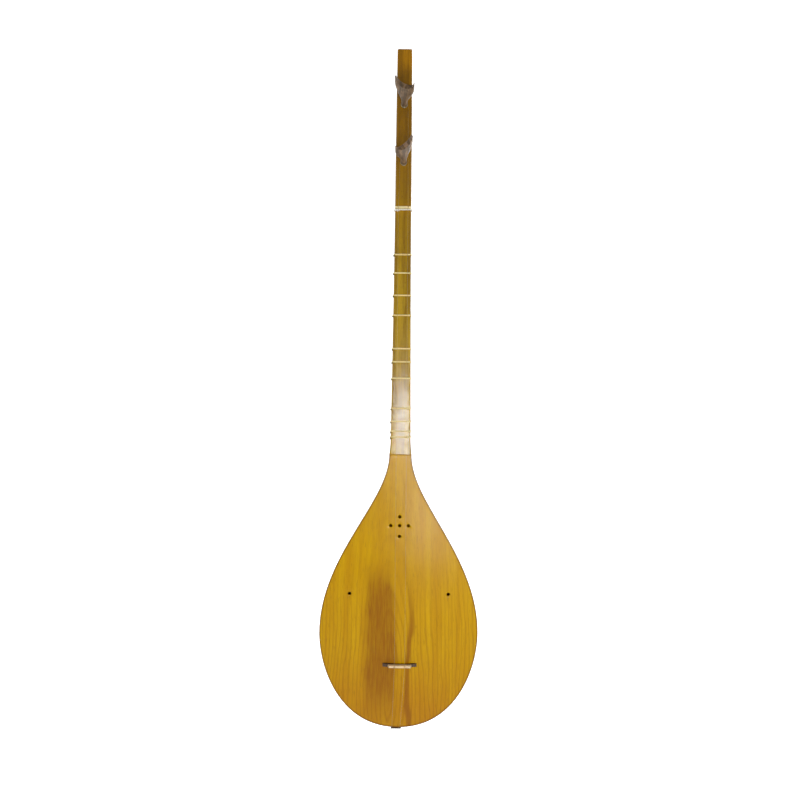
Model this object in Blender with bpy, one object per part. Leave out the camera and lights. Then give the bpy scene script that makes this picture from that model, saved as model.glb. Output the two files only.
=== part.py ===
"""A dotar: a two-string long-necked lute with a carved pear-shaped body.

Every piece is its own object, at real size in metres. Heights are measured up from the
tail of the body. The lute stands upright with its neck along +Z and its face towards -Y.
The origin is on the neck's face just below the upper peg, where a hanger's loop goes
round the neck. Frets, bridge and pegs are placed on the axes that they move along.
"""

import math

import bmesh
import bpy
import numpy as np
from mathutils import Matrix, Vector
from mathutils.geometry import interpolate_bezier

MM = 0.001

# Clearances
GAP = 0.3 * MM
PEG_CLEARANCE = 0.25 * MM
TENON_CLEARANCE = 0.3 * MM
MERGE_DISTANCE = 0.001 * MM
CUT_PAST = 2 * MM

# Body: heights above the tail, and how full its outline is drawn
BODY_LENGTH = 370 * MM
BODY_WIDTH = 215.2 * MM
WIDEST_AT = 128 * MM
THROAT_WIDTH = 30.4 * MM
TAIL_FULLNESS = 0.74
LOWER_FULLNESS = 0.375
UPPER_FULLNESS = 0.43
THROAT_FULLNESS = 0.27
OUTLINE_STEPS = 14

# Bowl
BOWL_DEPTH = 137 * MM
THROAT_DEPTH = 30 * MM
THROAT_BLEND = 140 * MM
WALL = 5.5 * MM
THROAT_BLOCK = 48 * MM
BOWL_STEPS = 16

# Soundboard
BOARD_THICKNESS = 3 * MM
BOARD_CROWN = 3 * MM
BOARD_COLUMNS = 8
HOLE_DIAMETER = 4.4 * MM
HOLE_SIDES = 14
CROSS_HEIGHT = 273.5 * MM
CROSS_ARM = 12 * MM
CROSS_LOWER_ARM = 14.5 * MM
SIDE_HOLE_HEIGHT = 181 * MM
SIDE_HOLE_SPACING = 134 * MM

# Neck: lengths between its stations, then its widths and depths there
HEEL_TO_NUT = 335 * MM
NUT_TO_LOWER_PEG = 61 * MM
PEG_SPACING = 78 * MM
HEAD_PAST_PEG = 77 * MM
HEEL_FLARE = 22 * MM
NECK_WIDTH_LOW = 27.2 * MM
NECK_WIDTH_NUT = 22.4 * MM
NECK_WIDTH_HEAD = 20 * MM
NECK_DEPTH_LOW = 25.5 * MM
NECK_DEPTH_NUT = 21 * MM
NECK_DEPTH_HEAD = 18 * MM
NECK_TAPER_POWER = 1.3
HEAD_TAPER_POWER = 2
HEAD_CHAMFER = 1.6 * MM
EDGE_EASE = 2 * MM
EDGE_STEPS = 2
BACK_STEPS = 12
NECK_STATIONS = 8
FLARE_STATIONS = 4
HEAD_STATIONS = 4
TENON_WIDTH = 14 * MM
TENON_DEPTH = 15 * MM
TENON_LENGTH = 26 * MM

# Nut and the cord tied below it
NUT_THICKNESS = 3.2 * MM
NUT_RISE = 3.2 * MM
NUT_SLOT = 1 * MM
NUT_ROUNDING = 0.7 * MM
TIE_CORD = 0.9 * MM
TIE_TURNS = 2
TIE_KNOT = Vector((3.3, 0.95, 1.8)) * MM
TIE_KNOT_INSET = 3.4 * MM

# Tied frets, as intervals above the open string
FRET_CENTS = (188, 268, 370, 466, 640, 714, 811, 1003, 1094, 1166, 1209)
GUT_DIAMETER = 0.65 * MM
FRET_TURNS = 3
FRET_TRAVEL = 2.5 * MM
FRET_KNOT = Vector((1.1, 1.1, 1.5)) * MM

# Strings
STRING_DIAMETER = 0.25 * MM
SPACING_AT_NUT = 13 * MM
SPACING_AT_BRIDGE = 14 * MM
STRING_SINK = 0.35 * MM
NOTCH_WIDTH = 3 * MM

# Bridge and its saddle
BRIDGE_HEIGHT = 86 * MM
BRIDGE_OFFSET = 2 * MM
BRIDGE_TRAVEL = 2 * MM
BRIDGE_LENGTH = 46 * MM
BRIDGE_BODY = 3 * MM
BRIDGE_THICKNESS = 4.8 * MM
BRIDGE_TOP_THICKNESS = 3.6 * MM
BRIDGE_END = 1.4 * MM
FOOT_LENGTH = 8 * MM
ARCH_RISE = 1.4 * MM
ARCH_STEPS = 6
SADDLE_LENGTH = 32 * MM
SADDLE_THICKNESS = 3 * MM
SADDLE_RISE = 5 * MM
SADDLE_END_SLOPE = 1.5 * MM

# String holder at the tail
HOLDER_OFFSET = -2 * MM
HOLDER_WIDTH = 14 * MM
HOLDER_REACH = 20 * MM
HOLDER_THICKNESS = 4 * MM
LIP_THICKNESS = 1.5 * MM
LIP_PROUD = 0.6 * MM
LIP_SLOPE_END = 8 * MM
PIN_DIAMETER = 2.4 * MM
PIN_FLARE = 0.35 * MM
PIN_LENGTH = 3 * MM
PIN_SPACING = 7 * MM
PIN_FROM_FACE = 14 * MM
LOOP_RETURN = 5 * MM

# Pegs, measured out from the neck's face along the peg
PEG_TILT = math.radians(8)
UPPER_PEG_TURN = math.radians(-24)
LOWER_PEG_TURN = math.radians(37)
PEG_DIAMETER = 8.4 * MM
PEG_TAPER = 0.028
PEG_PROUD = 1.8 * MM
PEG_SIDES = 24
STEM_LENGTH = 12 * MM
HEAD_LENGTH = 44 * MM
HEAD_WIDTH = 27 * MM
HEAD_TIP_THICKNESS = 5.6 * MM
HEAD_SHOULDER = 0.75
HEAD_SQUARENESS = 1.2
HEAD_ROUNDING = 0.8 * MM
HEAD_STEPS = 8
SCOOP_WIDTH = 25 * MM
SCOOP_DEPTH = 13.5 * MM
SCOOP_SIDES = 32
WINDING_START = 1 * MM
WINDING_PITCH = 0.4 * MM
WINDING_TURNS = 5
WINDING_STEPS = 12

# Where the lute hangs
HANGER_BELOW_PEG = 12 * MM

# Heights that follow from the sizes above
NUT_HEIGHT = BODY_LENGTH + HEEL_TO_NUT
LOWER_PEG_HEIGHT = NUT_HEIGHT + NUT_TO_LOWER_PEG
UPPER_PEG_HEIGHT = LOWER_PEG_HEIGHT + PEG_SPACING
HEAD_HEIGHT = UPPER_PEG_HEIGHT + HEAD_PAST_PEG
HANGER_HEIGHT = UPPER_PEG_HEIGHT - HANGER_BELOW_PEG
HEEL_HEIGHT = BODY_LENGTH + GAP
LOW_HEIGHT = HEEL_HEIGHT + HEEL_FLARE
STRING_LENGTH = NUT_HEIGHT - BRIDGE_HEIGHT
RIM = BOARD_THICKNESS + GAP
STRING_RADIUS = STRING_DIAMETER / 2
STRING_OVER_NUT = NUT_RISE - STRING_SINK


def clear_scene():
    for obj in list(bpy.data.objects):
        bpy.data.objects.remove(obj, do_unlink=True)


def wood_or_metal(name, colour, roughness, metallic=0.0):
    """A Principled material with one colour."""
    material = bpy.data.materials.new(name)
    material.use_nodes = True
    shader = material.node_tree.nodes["Principled BSDF"]
    shader.inputs["Base Color"].default_value = (*colour, 1)
    shader.inputs["Roughness"].default_value = roughness
    shader.inputs["Metallic"].default_value = metallic
    material.diffuse_color = (*colour, 1)
    return material


def empty(name, location, parent=None, rotation=(0, 0, 0)):
    axis = bpy.data.objects.new(name, None)
    bpy.context.scene.collection.objects.link(axis)
    axis.location = location
    axis.rotation_euler = rotation
    axis.parent = parent
    return axis


def place(obj, parent, location=(0, 0, 0), turn=0.0):
    obj.parent = parent
    obj.location = location
    obj.rotation_euler = (0, 0, turn)
    return obj


def mesh_object(name, bm, material=None):
    """Turns a finished bmesh into a smooth-shaded object with its hard edges kept."""
    bmesh.ops.recalc_face_normals(bm, faces=bm.faces)
    mesh = bpy.data.meshes.new(name)
    bm.to_mesh(mesh)
    bm.free()
    mesh.shade_smooth()
    mesh.set_sharp_from_angle(angle=math.radians(35))
    if material:
        mesh.materials.append(material)
    obj = bpy.data.objects.new(name, mesh)
    bpy.context.scene.collection.objects.link(obj)
    return obj


def combine(target, tool, operation):
    """Adds a Boolean with a hidden tool object that moves with its target."""
    tool.hide_render = True
    tool.display_type = "WIRE"
    boolean = target.modifiers.new(f"{operation.lower()} {tool.name}", "BOOLEAN")
    boolean.operation = operation
    boolean.solver = "EXACT"
    boolean.object = tool


def closed_ring(bm, points):
    ring = [bm.verts.new(point) for point in points]
    return [bm.edges.new(pair) for pair in zip(ring, ring[1:] + ring[:1])]


def loft(bm, sections, endless=False):
    """Skins a row of closed rings, and caps both ends unless the row closes on itself."""
    rings = [closed_ring(bm, section) for section in sections]
    for lower, upper in zip(rings, rings[1:]):
        bmesh.ops.bridge_loops(bm, edges=lower + upper)
    if endless:
        bmesh.ops.bridge_loops(bm, edges=rings[-1] + rings[0])
    else:
        for ring in (rings[0], rings[-1]):
            bmesh.ops.contextual_create(bm, geom=ring)


def prism(outline, low, high, axis):
    """A closed outline of pairs, extruded from low to high along X, Y or Z."""
    def point(a, b, along):
        return {"X": (along, a, b), "Y": (a, along, b), "Z": (a, b, along)}[axis]

    bm = bmesh.new()
    loft(bm, [[point(a, b, along) for a, b in outline] for along in (low, high)])
    return bm


def lump(size, centre):
    """A knot's rounded body."""
    bm = bmesh.new()
    place_and_size = Matrix.Translation(centre) @ Matrix.Diagonal((*size, 1))
    bmesh.ops.create_icosphere(bm, subdivisions=2, radius=1, matrix=place_and_size)
    return bm


def wire(name, points, material):
    """A string's round wire through the given points, with closed ends."""
    curve = bpy.data.curves.new(name, "CURVE")
    curve.dimensions = "3D"
    curve.bevel_depth = STRING_RADIUS
    curve.bevel_resolution = 1
    curve.use_fill_caps = True
    spline = curve.splines.new("POLY")
    spline.points.add(len(points) - 1)
    for slot, point in zip(spline.points, points):
        slot.co = (*point, 1)
    curve.materials.append(material)
    obj = bpy.data.objects.new(name, curve)
    bpy.context.scene.collection.objects.link(obj)
    return obj


def smooth_step(share):
    share = min(max(share, 0), 1)
    return share * share * (3 - 2 * share)


# Outline of the body


def body_outline(steps=OUTLINE_STEPS):
    """Half-width and height of the edge, from the tail round the belly to the throat."""
    tail = Vector((0, 0))
    belly = Vector((BODY_WIDTH / 2, WIDEST_AT))
    throat = Vector((THROAT_WIDTH / 2, BODY_LENGTH))
    above = BODY_LENGTH - WIDEST_AT
    tail_handle = tail + Vector((TAIL_FULLNESS * belly.x, 0))
    lower_handle = belly - Vector((0, LOWER_FULLNESS * WIDEST_AT))
    upper_handle = belly + Vector((0, UPPER_FULLNESS * above))
    throat_handle = throat - Vector((0, THROAT_FULLNESS * above))
    lower = interpolate_bezier(tail, tail_handle, lower_handle, belly, steps + 1)
    upper = interpolate_bezier(belly, upper_handle, throat_handle, throat, steps + 1)
    return lower + upper[1:]


FINE_OUTLINE = body_outline(steps=120)


def half_width(height):
    return float(np.interp(height, [p.y for p in FINE_OUTLINE], [p.x for p in FINE_OUTLINE]))


def crown(x, height):
    """How far the soundboard's face stands proud of its edge."""
    half = half_width(height)
    if half < MERGE_DISTANCE:
        return 0.0
    across = max(0.0, 1 - (x / half) ** 2)
    return BOARD_CROWN * (2 * half / BODY_WIDTH) ** 2 * across ** 2


# Section of the neck


def neck_width(height):
    if height > NUT_HEIGHT:
        up = (height - NUT_HEIGHT) / (HEAD_HEIGHT - NUT_HEIGHT)
        return NECK_WIDTH_NUT + (NECK_WIDTH_HEAD - NECK_WIDTH_NUT) * up ** HEAD_TAPER_POWER
    return swell(height, NECK_WIDTH_NUT, NECK_WIDTH_LOW, THROAT_WIDTH)


def neck_depth(height):
    if height > NUT_HEIGHT:
        up = (height - NUT_HEIGHT) / (HEAD_HEIGHT - NUT_HEIGHT)
        return NECK_DEPTH_NUT + (NECK_DEPTH_HEAD - NECK_DEPTH_NUT) * up
    return swell(height, NECK_DEPTH_NUT, NECK_DEPTH_LOW, RIM + THROAT_DEPTH)


def swell(height, at_nut, at_low, at_heel):
    """A neck size that grows down from the nut, then flares to the throat's own size."""
    down = (NUT_HEIGHT - height) / (NUT_HEIGHT - LOW_HEIGHT)
    size = at_nut + (at_low - at_nut) * min(down, 1) ** NECK_TAPER_POWER
    flare = max(0.0, (LOW_HEIGHT - height) / HEEL_FLARE)
    return size + (at_heel - at_low) * flare ** 2


def neck_section(height, grow=0.0):
    """Points round the neck: eased edge, round back, eased edge, then the flat face."""
    half = neck_width(height) / 2 + grow
    back = neck_depth(height) - RIM + grow
    ease = EDGE_EASE + grow
    eased = []
    for step in range(EDGE_STEPS + 1):
        angle = math.pi / 2 * step / EDGE_STEPS
        eased.append((half - ease + ease * math.sin(angle), EDGE_EASE - ease * math.cos(angle)))
    rounded = []
    for step in range(BACK_STEPS + 1):
        angle = math.pi * step / BACK_STEPS
        rounded.append((half * math.cos(angle), RIM + back * math.sin(angle)))
    return eased + rounded + [(-x, y) for x, y in reversed(eased)]


LEFT_EDGE_POINT = EDGE_STEPS + 1 + BACK_STEPS + 1 + EDGE_STEPS // 2


# Body pieces


def half_body(profile):
    """Spins a half-outline half a turn behind the rim, and deepens it to the bowl's section."""
    belly_ratio = (BOWL_DEPTH - GAP) / (BODY_WIDTH / 2)
    throat_ratio = THROAT_DEPTH / (THROAT_WIDTH / 2)
    blend_from = BODY_LENGTH - THROAT_BLEND
    bm = bmesh.new()
    points = [*profile, Vector((0, profile[-1].y))]
    line = [bm.verts.new((point.x, 0, point.y)) for point in points]
    edges = [bm.edges.new(pair) for pair in zip(line, line[1:])]
    bmesh.ops.spin(
        bm, geom=line + edges, cent=(0, 0, 0), axis=(0, 0, 1), angle=math.pi, steps=BOWL_STEPS
    )
    bmesh.ops.remove_doubles(bm, verts=bm.verts, dist=MERGE_DISTANCE)
    for vert in bm.verts:
        blend = smooth_step((vert.co.z - blend_from) / THROAT_BLEND)
        vert.co.y *= belly_ratio + (throat_ratio - belly_ratio) * blend
    rim = [edge for edge in bm.edges if edge.is_boundary]
    bmesh.ops.holes_fill(bm, edges=rim)
    return bm


def cavity_profile():
    """The outline moved in by the wall, and closed below the throat's solid block."""
    top = BODY_LENGTH - THROAT_BLOCK
    outline = body_outline()
    inner = []
    for before, point, after in zip(outline, outline[1:], outline[2:]):
        along = (after - before).normalized()
        moved = point + Vector((-along.y, along.x)) * WALL
        if moved.y < top and moved.x > WALL:
            inner.append(moved)
    last = inner[-1]
    crown_of_cavity = [
        Vector((last.x * math.cos(angle), last.y + WALL * 2 * math.sin(angle)))
        for angle in (math.pi / 6, math.pi / 3)
    ]
    return [Vector((0, WALL)), *inner, *crown_of_cavity]


def build_bowl(tail, material):
    bowl = place(mesh_object("bowl", half_body(body_outline()), material), tail, (0, RIM, 0))
    cavity = place(mesh_object("bowl_cavity", half_body(cavity_profile())), tail, (0, RIM, 0))
    mouth = mesh_object("bowl_mouth", flat_mouth())
    place(mouth, tail)
    combine(cavity, mouth, "UNION")
    combine(bowl, cavity, "DIFFERENCE")
    combine(bowl, tenon_tool("bowl_mortise", tail, TENON_CLEARANCE), "DIFFERENCE")
    return bowl


def flat_mouth():
    """A thin plate of the cavity's outline that opens the cavity out through the rim."""
    profile = cavity_profile()
    right = [(point.x, point.y) for point in profile if point.x > 0]
    outline = [(0, profile[0].y), *right, (0, profile[-1].y)]
    outline += [(-x, height) for x, height in reversed(right)]
    return prism(outline, RIM - CUT_PAST, RIM + CUT_PAST, "Y")


def tenon_tool(name, tail, grow):
    """The neck's tenon, or with a clearance the pocket that takes it."""
    low = HEEL_HEIGHT - TENON_LENGTH - grow
    half = TENON_WIDTH / 2 + grow
    near = 2 * RIM - grow
    far = 2 * RIM + TENON_DEPTH + grow
    box = [(-half, near), (half, near), (half, far), (-half, far)]
    return place(mesh_object(name, prism(box, low, HEEL_HEIGHT + CUT_PAST, "Z")), tail)


def build_soundboard(tail, material):
    """A crowned plate: a grid fitted to the outline, given its thickness, then drilled."""
    outline = body_outline()
    bm = bmesh.new()
    grid = bmesh.ops.create_grid(bm, x_segments=BOARD_COLUMNS, y_segments=len(outline) - 1, size=1)
    for vert in grid["verts"]:
        row = round((vert.co.y + 1) / 2 * (len(outline) - 1))
        across = math.sin(vert.co.x * math.pi / 2)
        half, height = outline[row]
        vert.co = (across * half, -crown(across * half, height), height)
    bmesh.ops.remove_doubles(bm, verts=bm.verts, dist=MERGE_DISTANCE)
    back = bmesh.ops.extrude_face_region(bm, geom=bm.faces[:])
    moved = [part for part in back["geom"] if isinstance(part, bmesh.types.BMVert)]
    bmesh.ops.translate(bm, verts=moved, vec=(0, BOARD_THICKNESS, 0))
    board = place(mesh_object("soundboard", bm, material), tail)
    combine(board, sound_hole_drills(tail), "DIFFERENCE")
    return board


def sound_hole_drills(tail):
    """Seven straight drills: a cross of five with a longer foot, and one in each flank."""
    places = [(0, CROSS_HEIGHT), (-CROSS_ARM, CROSS_HEIGHT), (CROSS_ARM, CROSS_HEIGHT)]
    places += [(0, CROSS_HEIGHT + CROSS_ARM), (0, CROSS_HEIGHT - CROSS_LOWER_ARM)]
    places += [(side * SIDE_HOLE_SPACING / 2, SIDE_HOLE_HEIGHT) for side in (-1, 1)]
    bm = bmesh.new()
    for x, height in places:
        through = Matrix.Translation((x, 0, height)) @ Matrix.Rotation(math.pi / 2, 4, "X")
        bmesh.ops.create_cone(
            bm, cap_ends=True, segments=HOLE_SIDES, radius1=HOLE_DIAMETER / 2,
            radius2=HOLE_DIAMETER / 2, depth=4 * (BOARD_THICKNESS + BOARD_CROWN), matrix=through,
        )
    return place(mesh_object("sound_hole_drills", bm), tail)


# Neck, with all that is cut in it


def neck_heights():
    """Stations from the heel to the head's end, closest where the heel flares."""
    flare = [HEEL_HEIGHT + HEEL_FLARE * step / FLARE_STATIONS for step in range(FLARE_STATIONS)]
    shaft = [LOW_HEIGHT + (NUT_HEIGHT - LOW_HEIGHT) * step / NECK_STATIONS for step in range(NECK_STATIONS)]
    end = HEAD_HEIGHT - HEAD_CHAMFER
    head = [NUT_HEIGHT + (end - NUT_HEIGHT) * step / HEAD_STATIONS for step in range(HEAD_STATIONS + 1)]
    return flare + shaft + head


def build_neck(tail, peg_axes, material):
    sections = [[(x, y, height) for x, y in neck_section(height)] for height in neck_heights()]
    sections.append([(x, y, HEAD_HEIGHT) for x, y in neck_section(HEAD_HEIGHT, -HEAD_CHAMFER)])
    bm = bmesh.new()
    loft(bm, sections)
    neck = place(mesh_object("neck", bm, material), tail)
    combine(neck, tenon_tool("neck_tenon", tail, 0), "UNION")
    half = NECK_WIDTH_LOW
    low = NUT_HEIGHT - NUT_THICKNESS / 2 - GAP / 2
    slot = [(-half, -CUT_PAST), (half, -CUT_PAST), (half, NUT_SLOT), (-half, NUT_SLOT)]
    slot_tool = mesh_object("nut_slot", prism(slot, low, low + NUT_THICKNESS + GAP, "Z"))
    combine(neck, place(slot_tool, tail), "DIFFERENCE")
    for name, axis, height in peg_axes:
        combine(neck, peg_hole(f"{name}_hole", axis, neck_depth(height)), "DIFFERENCE")
    return neck


def peg_radius(out):
    """Radius of a peg's shank and stem, thinner towards the back of the neck."""
    return PEG_DIAMETER / 2 + PEG_TAPER * min(out, 0)


def peg_hole(name, axis, depth):
    """A tapered reamer from in front of the face to behind the neck's back."""
    front = CUT_PAST * 2
    back = -(depth / math.cos(PEG_TILT) + CUT_PAST * 2)
    bm = bmesh.new()
    radii = [PEG_DIAMETER / 2 + PEG_TAPER * end + PEG_CLEARANCE for end in (back, front)]
    bmesh.ops.create_cone(
        bm, cap_ends=True, segments=PEG_SIDES, radius1=radii[0], radius2=radii[1],
        depth=front - back, matrix=Matrix.Translation((0, 0, (front + back) / 2)),
    )
    return place(mesh_object(name, bm), axis)


def build_nut(tail, material):
    half = neck_width(NUT_HEIGHT) / 2 - GAP
    bottom = NUT_SLOT - GAP
    bm = bmesh.new()
    size = Matrix.Diagonal((2 * half, NUT_RISE + bottom, NUT_THICKNESS - GAP, 1))
    centre = Matrix.Translation((0, (bottom - NUT_RISE) / 2, 0))
    bmesh.ops.create_cube(bm, size=1, matrix=centre @ size)
    top = [edge for edge in bm.edges if all(vert.co.y < 0 for vert in edge.verts)]
    bmesh.ops.bevel(bm, geom=top, offset=NUT_ROUNDING, segments=2, profile=0.5, affect="EDGES", material=-1)
    nut = place(mesh_object("nut", bm, material), tail, (0, 0, NUT_HEIGHT))
    for name, side in (("left", -1), ("right", 1)):
        x = side * SPACING_AT_NUT / 2
        notch = notch_tool(f"nut_notch_{name}", x, -NUT_RISE, GAP, NUT_THICKNESS)
        combine(nut, place(notch, tail, (0, 0, NUT_HEIGHT)), "DIFFERENCE")
    return nut


def notch_tool(name, x, top, clearance, thickness):
    """A V that leaves a clearance under the string, for a top edge at y = top."""
    depth = STRING_SINK + STRING_RADIUS + clearance
    half = NOTCH_WIDTH / 2
    v = [(x, top + depth + GAP), (x + half, top - CUT_PAST / 2), (x - half, top - CUT_PAST / 2)]
    return mesh_object(name, prism(v, -thickness, thickness, "Z"))


# Tied cords


def cord_profile(turns, diameter):
    """Ridged outline of turns that lie side by side: distance from the neck, and height."""
    half = turns * diameter / 2
    points = [(GAP, half), (GAP, -half)]
    for turn in range(turns):
        middle = diameter * (turn + 0.5) - half
        if turn:
            points.append((GAP + 0.55 * diameter, middle - diameter / 2))
        else:
            points.append((GAP + 0.5 * diameter, -half))
        points.append((GAP + diameter, middle))
    points.append((GAP + 0.5 * diameter, half))
    return points


def tied_band(name, height, turns, diameter, tail, material):
    """Turns of cord round the neck, drawn on the neck's own section at this height."""
    profile = cord_profile(turns, diameter)
    loops = [neck_section(height, grow) for grow, _ in profile]
    rings = []
    for index in range(len(loops[0])):
        rings.append([(*loop[index], along) for loop, (_, along) in zip(loops, profile)])
    bm = bmesh.new()
    loft(bm, rings, endless=True)
    return place(mesh_object(name, bm, material), tail, (0, 0, height))


def build_nut_tie(tail, material):
    half = TIE_TURNS * TIE_CORD / 2
    height = NUT_HEIGHT - NUT_THICKNESS / 2 - GAP - half
    tie = tied_band("nut_tie", height, TIE_TURNS, TIE_CORD, tail, material)
    left = -neck_width(height) / 2 + TIE_KNOT_INSET
    centre = (left, -GAP * 1.2 - TIE_KNOT.y, half - TIE_KNOT.z)
    knot = mesh_object("nut_tie_knot", lump(TIE_KNOT, centre))
    combine(tie, place(knot, tail, (0, 0, height)), "UNION")
    return tie


def fret_heights():
    """Tied frets from the nut down, as far as the neck goes before its heel flares."""
    lowest = LOW_HEIGHT - HEEL_FLARE / 4 + FRET_TRAVEL
    heights = [BRIDGE_HEIGHT + STRING_LENGTH * 2 ** (-cents / 1200) for cents in FRET_CENTS]
    return [height for height in heights if height > lowest]


def build_frets(tail, material):
    for number, height in enumerate(fret_heights(), start=1):
        name = f"fret_{number:02d}"
        fret = tied_band(name, height, FRET_TURNS, GUT_DIAMETER, tail, material)
        half = FRET_TURNS * GUT_DIAMETER / 2
        x, y = neck_section(height, GAP * 1.2 + FRET_KNOT.x)[LEFT_EDGE_POINT]
        knot = mesh_object(f"{name}_knot", lump(FRET_KNOT, (x, y, -half - FRET_KNOT.z / 2)))
        combine(fret, place(knot, tail, (0, 0, height)), "UNION")


# Bridge


def bridge_levels():
    """Depths of the bridge's top, its saddle's top and the strings on it."""
    highest = crown(0, BRIDGE_HEIGHT + BRIDGE_THICKNESS / 2 + BRIDGE_TRAVEL)
    top = -(highest + GAP + BRIDGE_BODY)
    saddle_top = top - GAP - SADDLE_RISE
    return top, saddle_top, saddle_top + STRING_SINK


def foot_level(x):
    """Where a foot of the bridge stands on the crowned board, wherever it is pushed."""
    reach = BRIDGE_THICKNESS / 2 + BRIDGE_TRAVEL
    return -max(crown(x, BRIDGE_HEIGHT + side * reach) for side in (-1, 1)) - GAP


def build_bridge(tail, material):
    """A low wooden foot with sloping ends and an arch below, thinner at the top."""
    half = BRIDGE_LENGTH / 2
    foot = half - FOOT_LENGTH
    top = bridge_levels()[0]
    shelf = SADDLE_LENGTH / 2 + GAP
    outline = []
    for x in (half, half - FOOT_LENGTH / 2, foot):
        outline.append((x, foot_level(x + BRIDGE_OFFSET)))
    for step in range(1, ARCH_STEPS):
        angle = math.pi * step / ARCH_STEPS
        level = foot_level(BRIDGE_OFFSET) - ARCH_RISE * math.sin(angle)
        outline.append((foot * math.cos(angle), level))
    for x in (-foot, -half + FOOT_LENGTH / 2, -half):
        outline.append((x, foot_level(x + BRIDGE_OFFSET)))
    end = foot_level(BRIDGE_OFFSET + half) - BRIDGE_END
    outline += [(-half, end), (-shelf, top), (shelf, top), (half, end)]
    bm = prism(outline, -BRIDGE_THICKNESS / 2, BRIDGE_THICKNESS / 2, "Z")
    base = foot_level(BRIDGE_OFFSET)
    for vert in bm.verts:
        rise = min(max((vert.co.y - base) / (top - base), 0), 1)
        thickness = BRIDGE_THICKNESS + (BRIDGE_TOP_THICKNESS - BRIDGE_THICKNESS) * rise
        vert.co.z *= thickness / BRIDGE_THICKNESS
    return place(mesh_object("bridge", bm, material), tail, (BRIDGE_OFFSET, 0, BRIDGE_HEIGHT))


def build_saddle(tail, material):
    top, saddle_top, string_level = bridge_levels()
    half = SADDLE_LENGTH / 2
    upper = half - SADDLE_END_SLOPE
    outline = [(-half, top - GAP), (half, top - GAP), (upper, saddle_top), (-upper, saddle_top)]
    bm = prism(outline, -SADDLE_THICKNESS / 2, SADDLE_THICKNESS / 2, "Z")
    ridge = [edge for edge in bm.edges if all(vert.co.y < string_level for vert in edge.verts)]
    bmesh.ops.bevel(
        bm, geom=ridge, offset=SADDLE_THICKNESS / 5, segments=2, profile=0.5, affect="EDGES", material=-1
    )
    at = (BRIDGE_OFFSET, 0, BRIDGE_HEIGHT)
    saddle = place(mesh_object("bridge_saddle", bm, material), tail, at)
    fall = -string_level / BRIDGE_HEIGHT * (BRIDGE_TRAVEL + SADDLE_THICKNESS / 2)
    for name, side in (("left", -1), ("right", 1)):
        x = side * SPACING_AT_BRIDGE / 2
        notch = notch_tool(f"saddle_notch_{name}", x, saddle_top, GAP + fall, BRIDGE_THICKNESS)
        combine(saddle, place(notch, tail, at), "DIFFERENCE")
    return saddle


# Strings and what they are tied to


def build_string_holder(tail, material):
    """A wedge under the tail whose thin lip guards the board's edge, with two pins behind."""
    seat = -GAP
    low = seat - HOLDER_THICKNESS
    outline = [(-LIP_PROUD, seat), (HOLDER_REACH, seat), (HOLDER_REACH, low), (LIP_SLOPE_END, low)]
    outline.append((-LIP_PROUD, seat - LIP_THICKNESS))
    left = HOLDER_OFFSET - HOLDER_WIDTH / 2
    holder = mesh_object("string_holder", prism(outline, left, left + HOLDER_WIDTH, "X"), material)
    bm = bmesh.new()
    sunk = HOLDER_THICKNESS / 2
    for side in (-1, 1):
        x = HOLDER_OFFSET + side * PIN_SPACING / 2
        middle = low - (PIN_LENGTH - sunk) / 2
        bmesh.ops.create_cone(
            bm, cap_ends=True, segments=HOLE_SIDES, radius1=PIN_DIAMETER / 2 + PIN_FLARE,
            radius2=PIN_DIAMETER / 2, depth=PIN_LENGTH + sunk,
            matrix=Matrix.Translation((x, PIN_FROM_FACE, middle)),
        )
    combine(place(holder, tail), place(mesh_object("holder_pins", bm), tail), "UNION")
    return holder


def rounded(corners, radius, steps=4):
    """The corners' line, with each inner corner turned along a short curve."""
    path = [corners[0]]
    for before, corner, after in zip(corners, corners[1:], corners[2:]):
        back = min(radius, (before - corner).length / 2)
        ahead = min(radius, (after - corner).length / 2)
        start = corner + (before - corner).normalized() * back
        end = corner + (after - corner).normalized() * ahead
        for step in range(steps + 1):
            share = step / steps
            path.append(start.lerp(corner, share).lerp(corner.lerp(end, share), share))
    return [*path, corners[-1]]


def winding_radius():
    """Radius of the middle of the wire on the stem."""
    return PEG_DIAMETER / 2 + GAP + STRING_RADIUS


def string_start(side, peg_height):
    """Beside the winding, where the string comes off its peg's stem."""
    out = WINDING_START + WINDING_TURNS * WINDING_PITCH / 2
    x = side * (winding_radius() + STRING_RADIUS + GAP + STRING_RADIUS)
    return Vector((x, -out * math.cos(PEG_TILT), peg_height + out * math.sin(PEG_TILT)))


def build_string(name, side, peg_height, tail, material):
    """Peg, nut, bridge, round the holder's lip, then in a loop round the pin and back."""
    off = GAP + STRING_RADIUS
    loop = PIN_DIAMETER / 2 + PIN_FLARE + off
    pin = HOLDER_OFFSET + side * PIN_SPACING / 2
    run = pin + side * loop
    bridge_x = BRIDGE_OFFSET + side * SPACING_AT_BRIDGE / 2
    below = -GAP - HOLDER_THICKNESS - off
    lip = -GAP - LIP_THICKNESS - off
    corners = [
        string_start(side, peg_height),
        Vector((side * SPACING_AT_NUT / 2, -STRING_OVER_NUT, NUT_HEIGHT)),
        Vector((bridge_x, bridge_levels()[2], BRIDGE_HEIGHT)),
        Vector((run, -LIP_PROUD - off, -GAP)),
        Vector((run, -LIP_PROUD - off / 2, lip)),
        Vector((run, LIP_SLOPE_END, below)),
        Vector((run, PIN_FROM_FACE, below)),
    ]
    path = rounded(corners, STRING_DIAMETER * 3)
    for step in range(1, 8):
        angle = math.pi * step / 7
        sideways = pin + side * loop * math.cos(angle)
        path.append(Vector((sideways, PIN_FROM_FACE + loop * math.sin(angle), below)))
    path.append(Vector((pin - side * loop, PIN_FROM_FACE - LOOP_RETURN, below)))
    return place(wire(name, path, material), tail)


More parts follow.
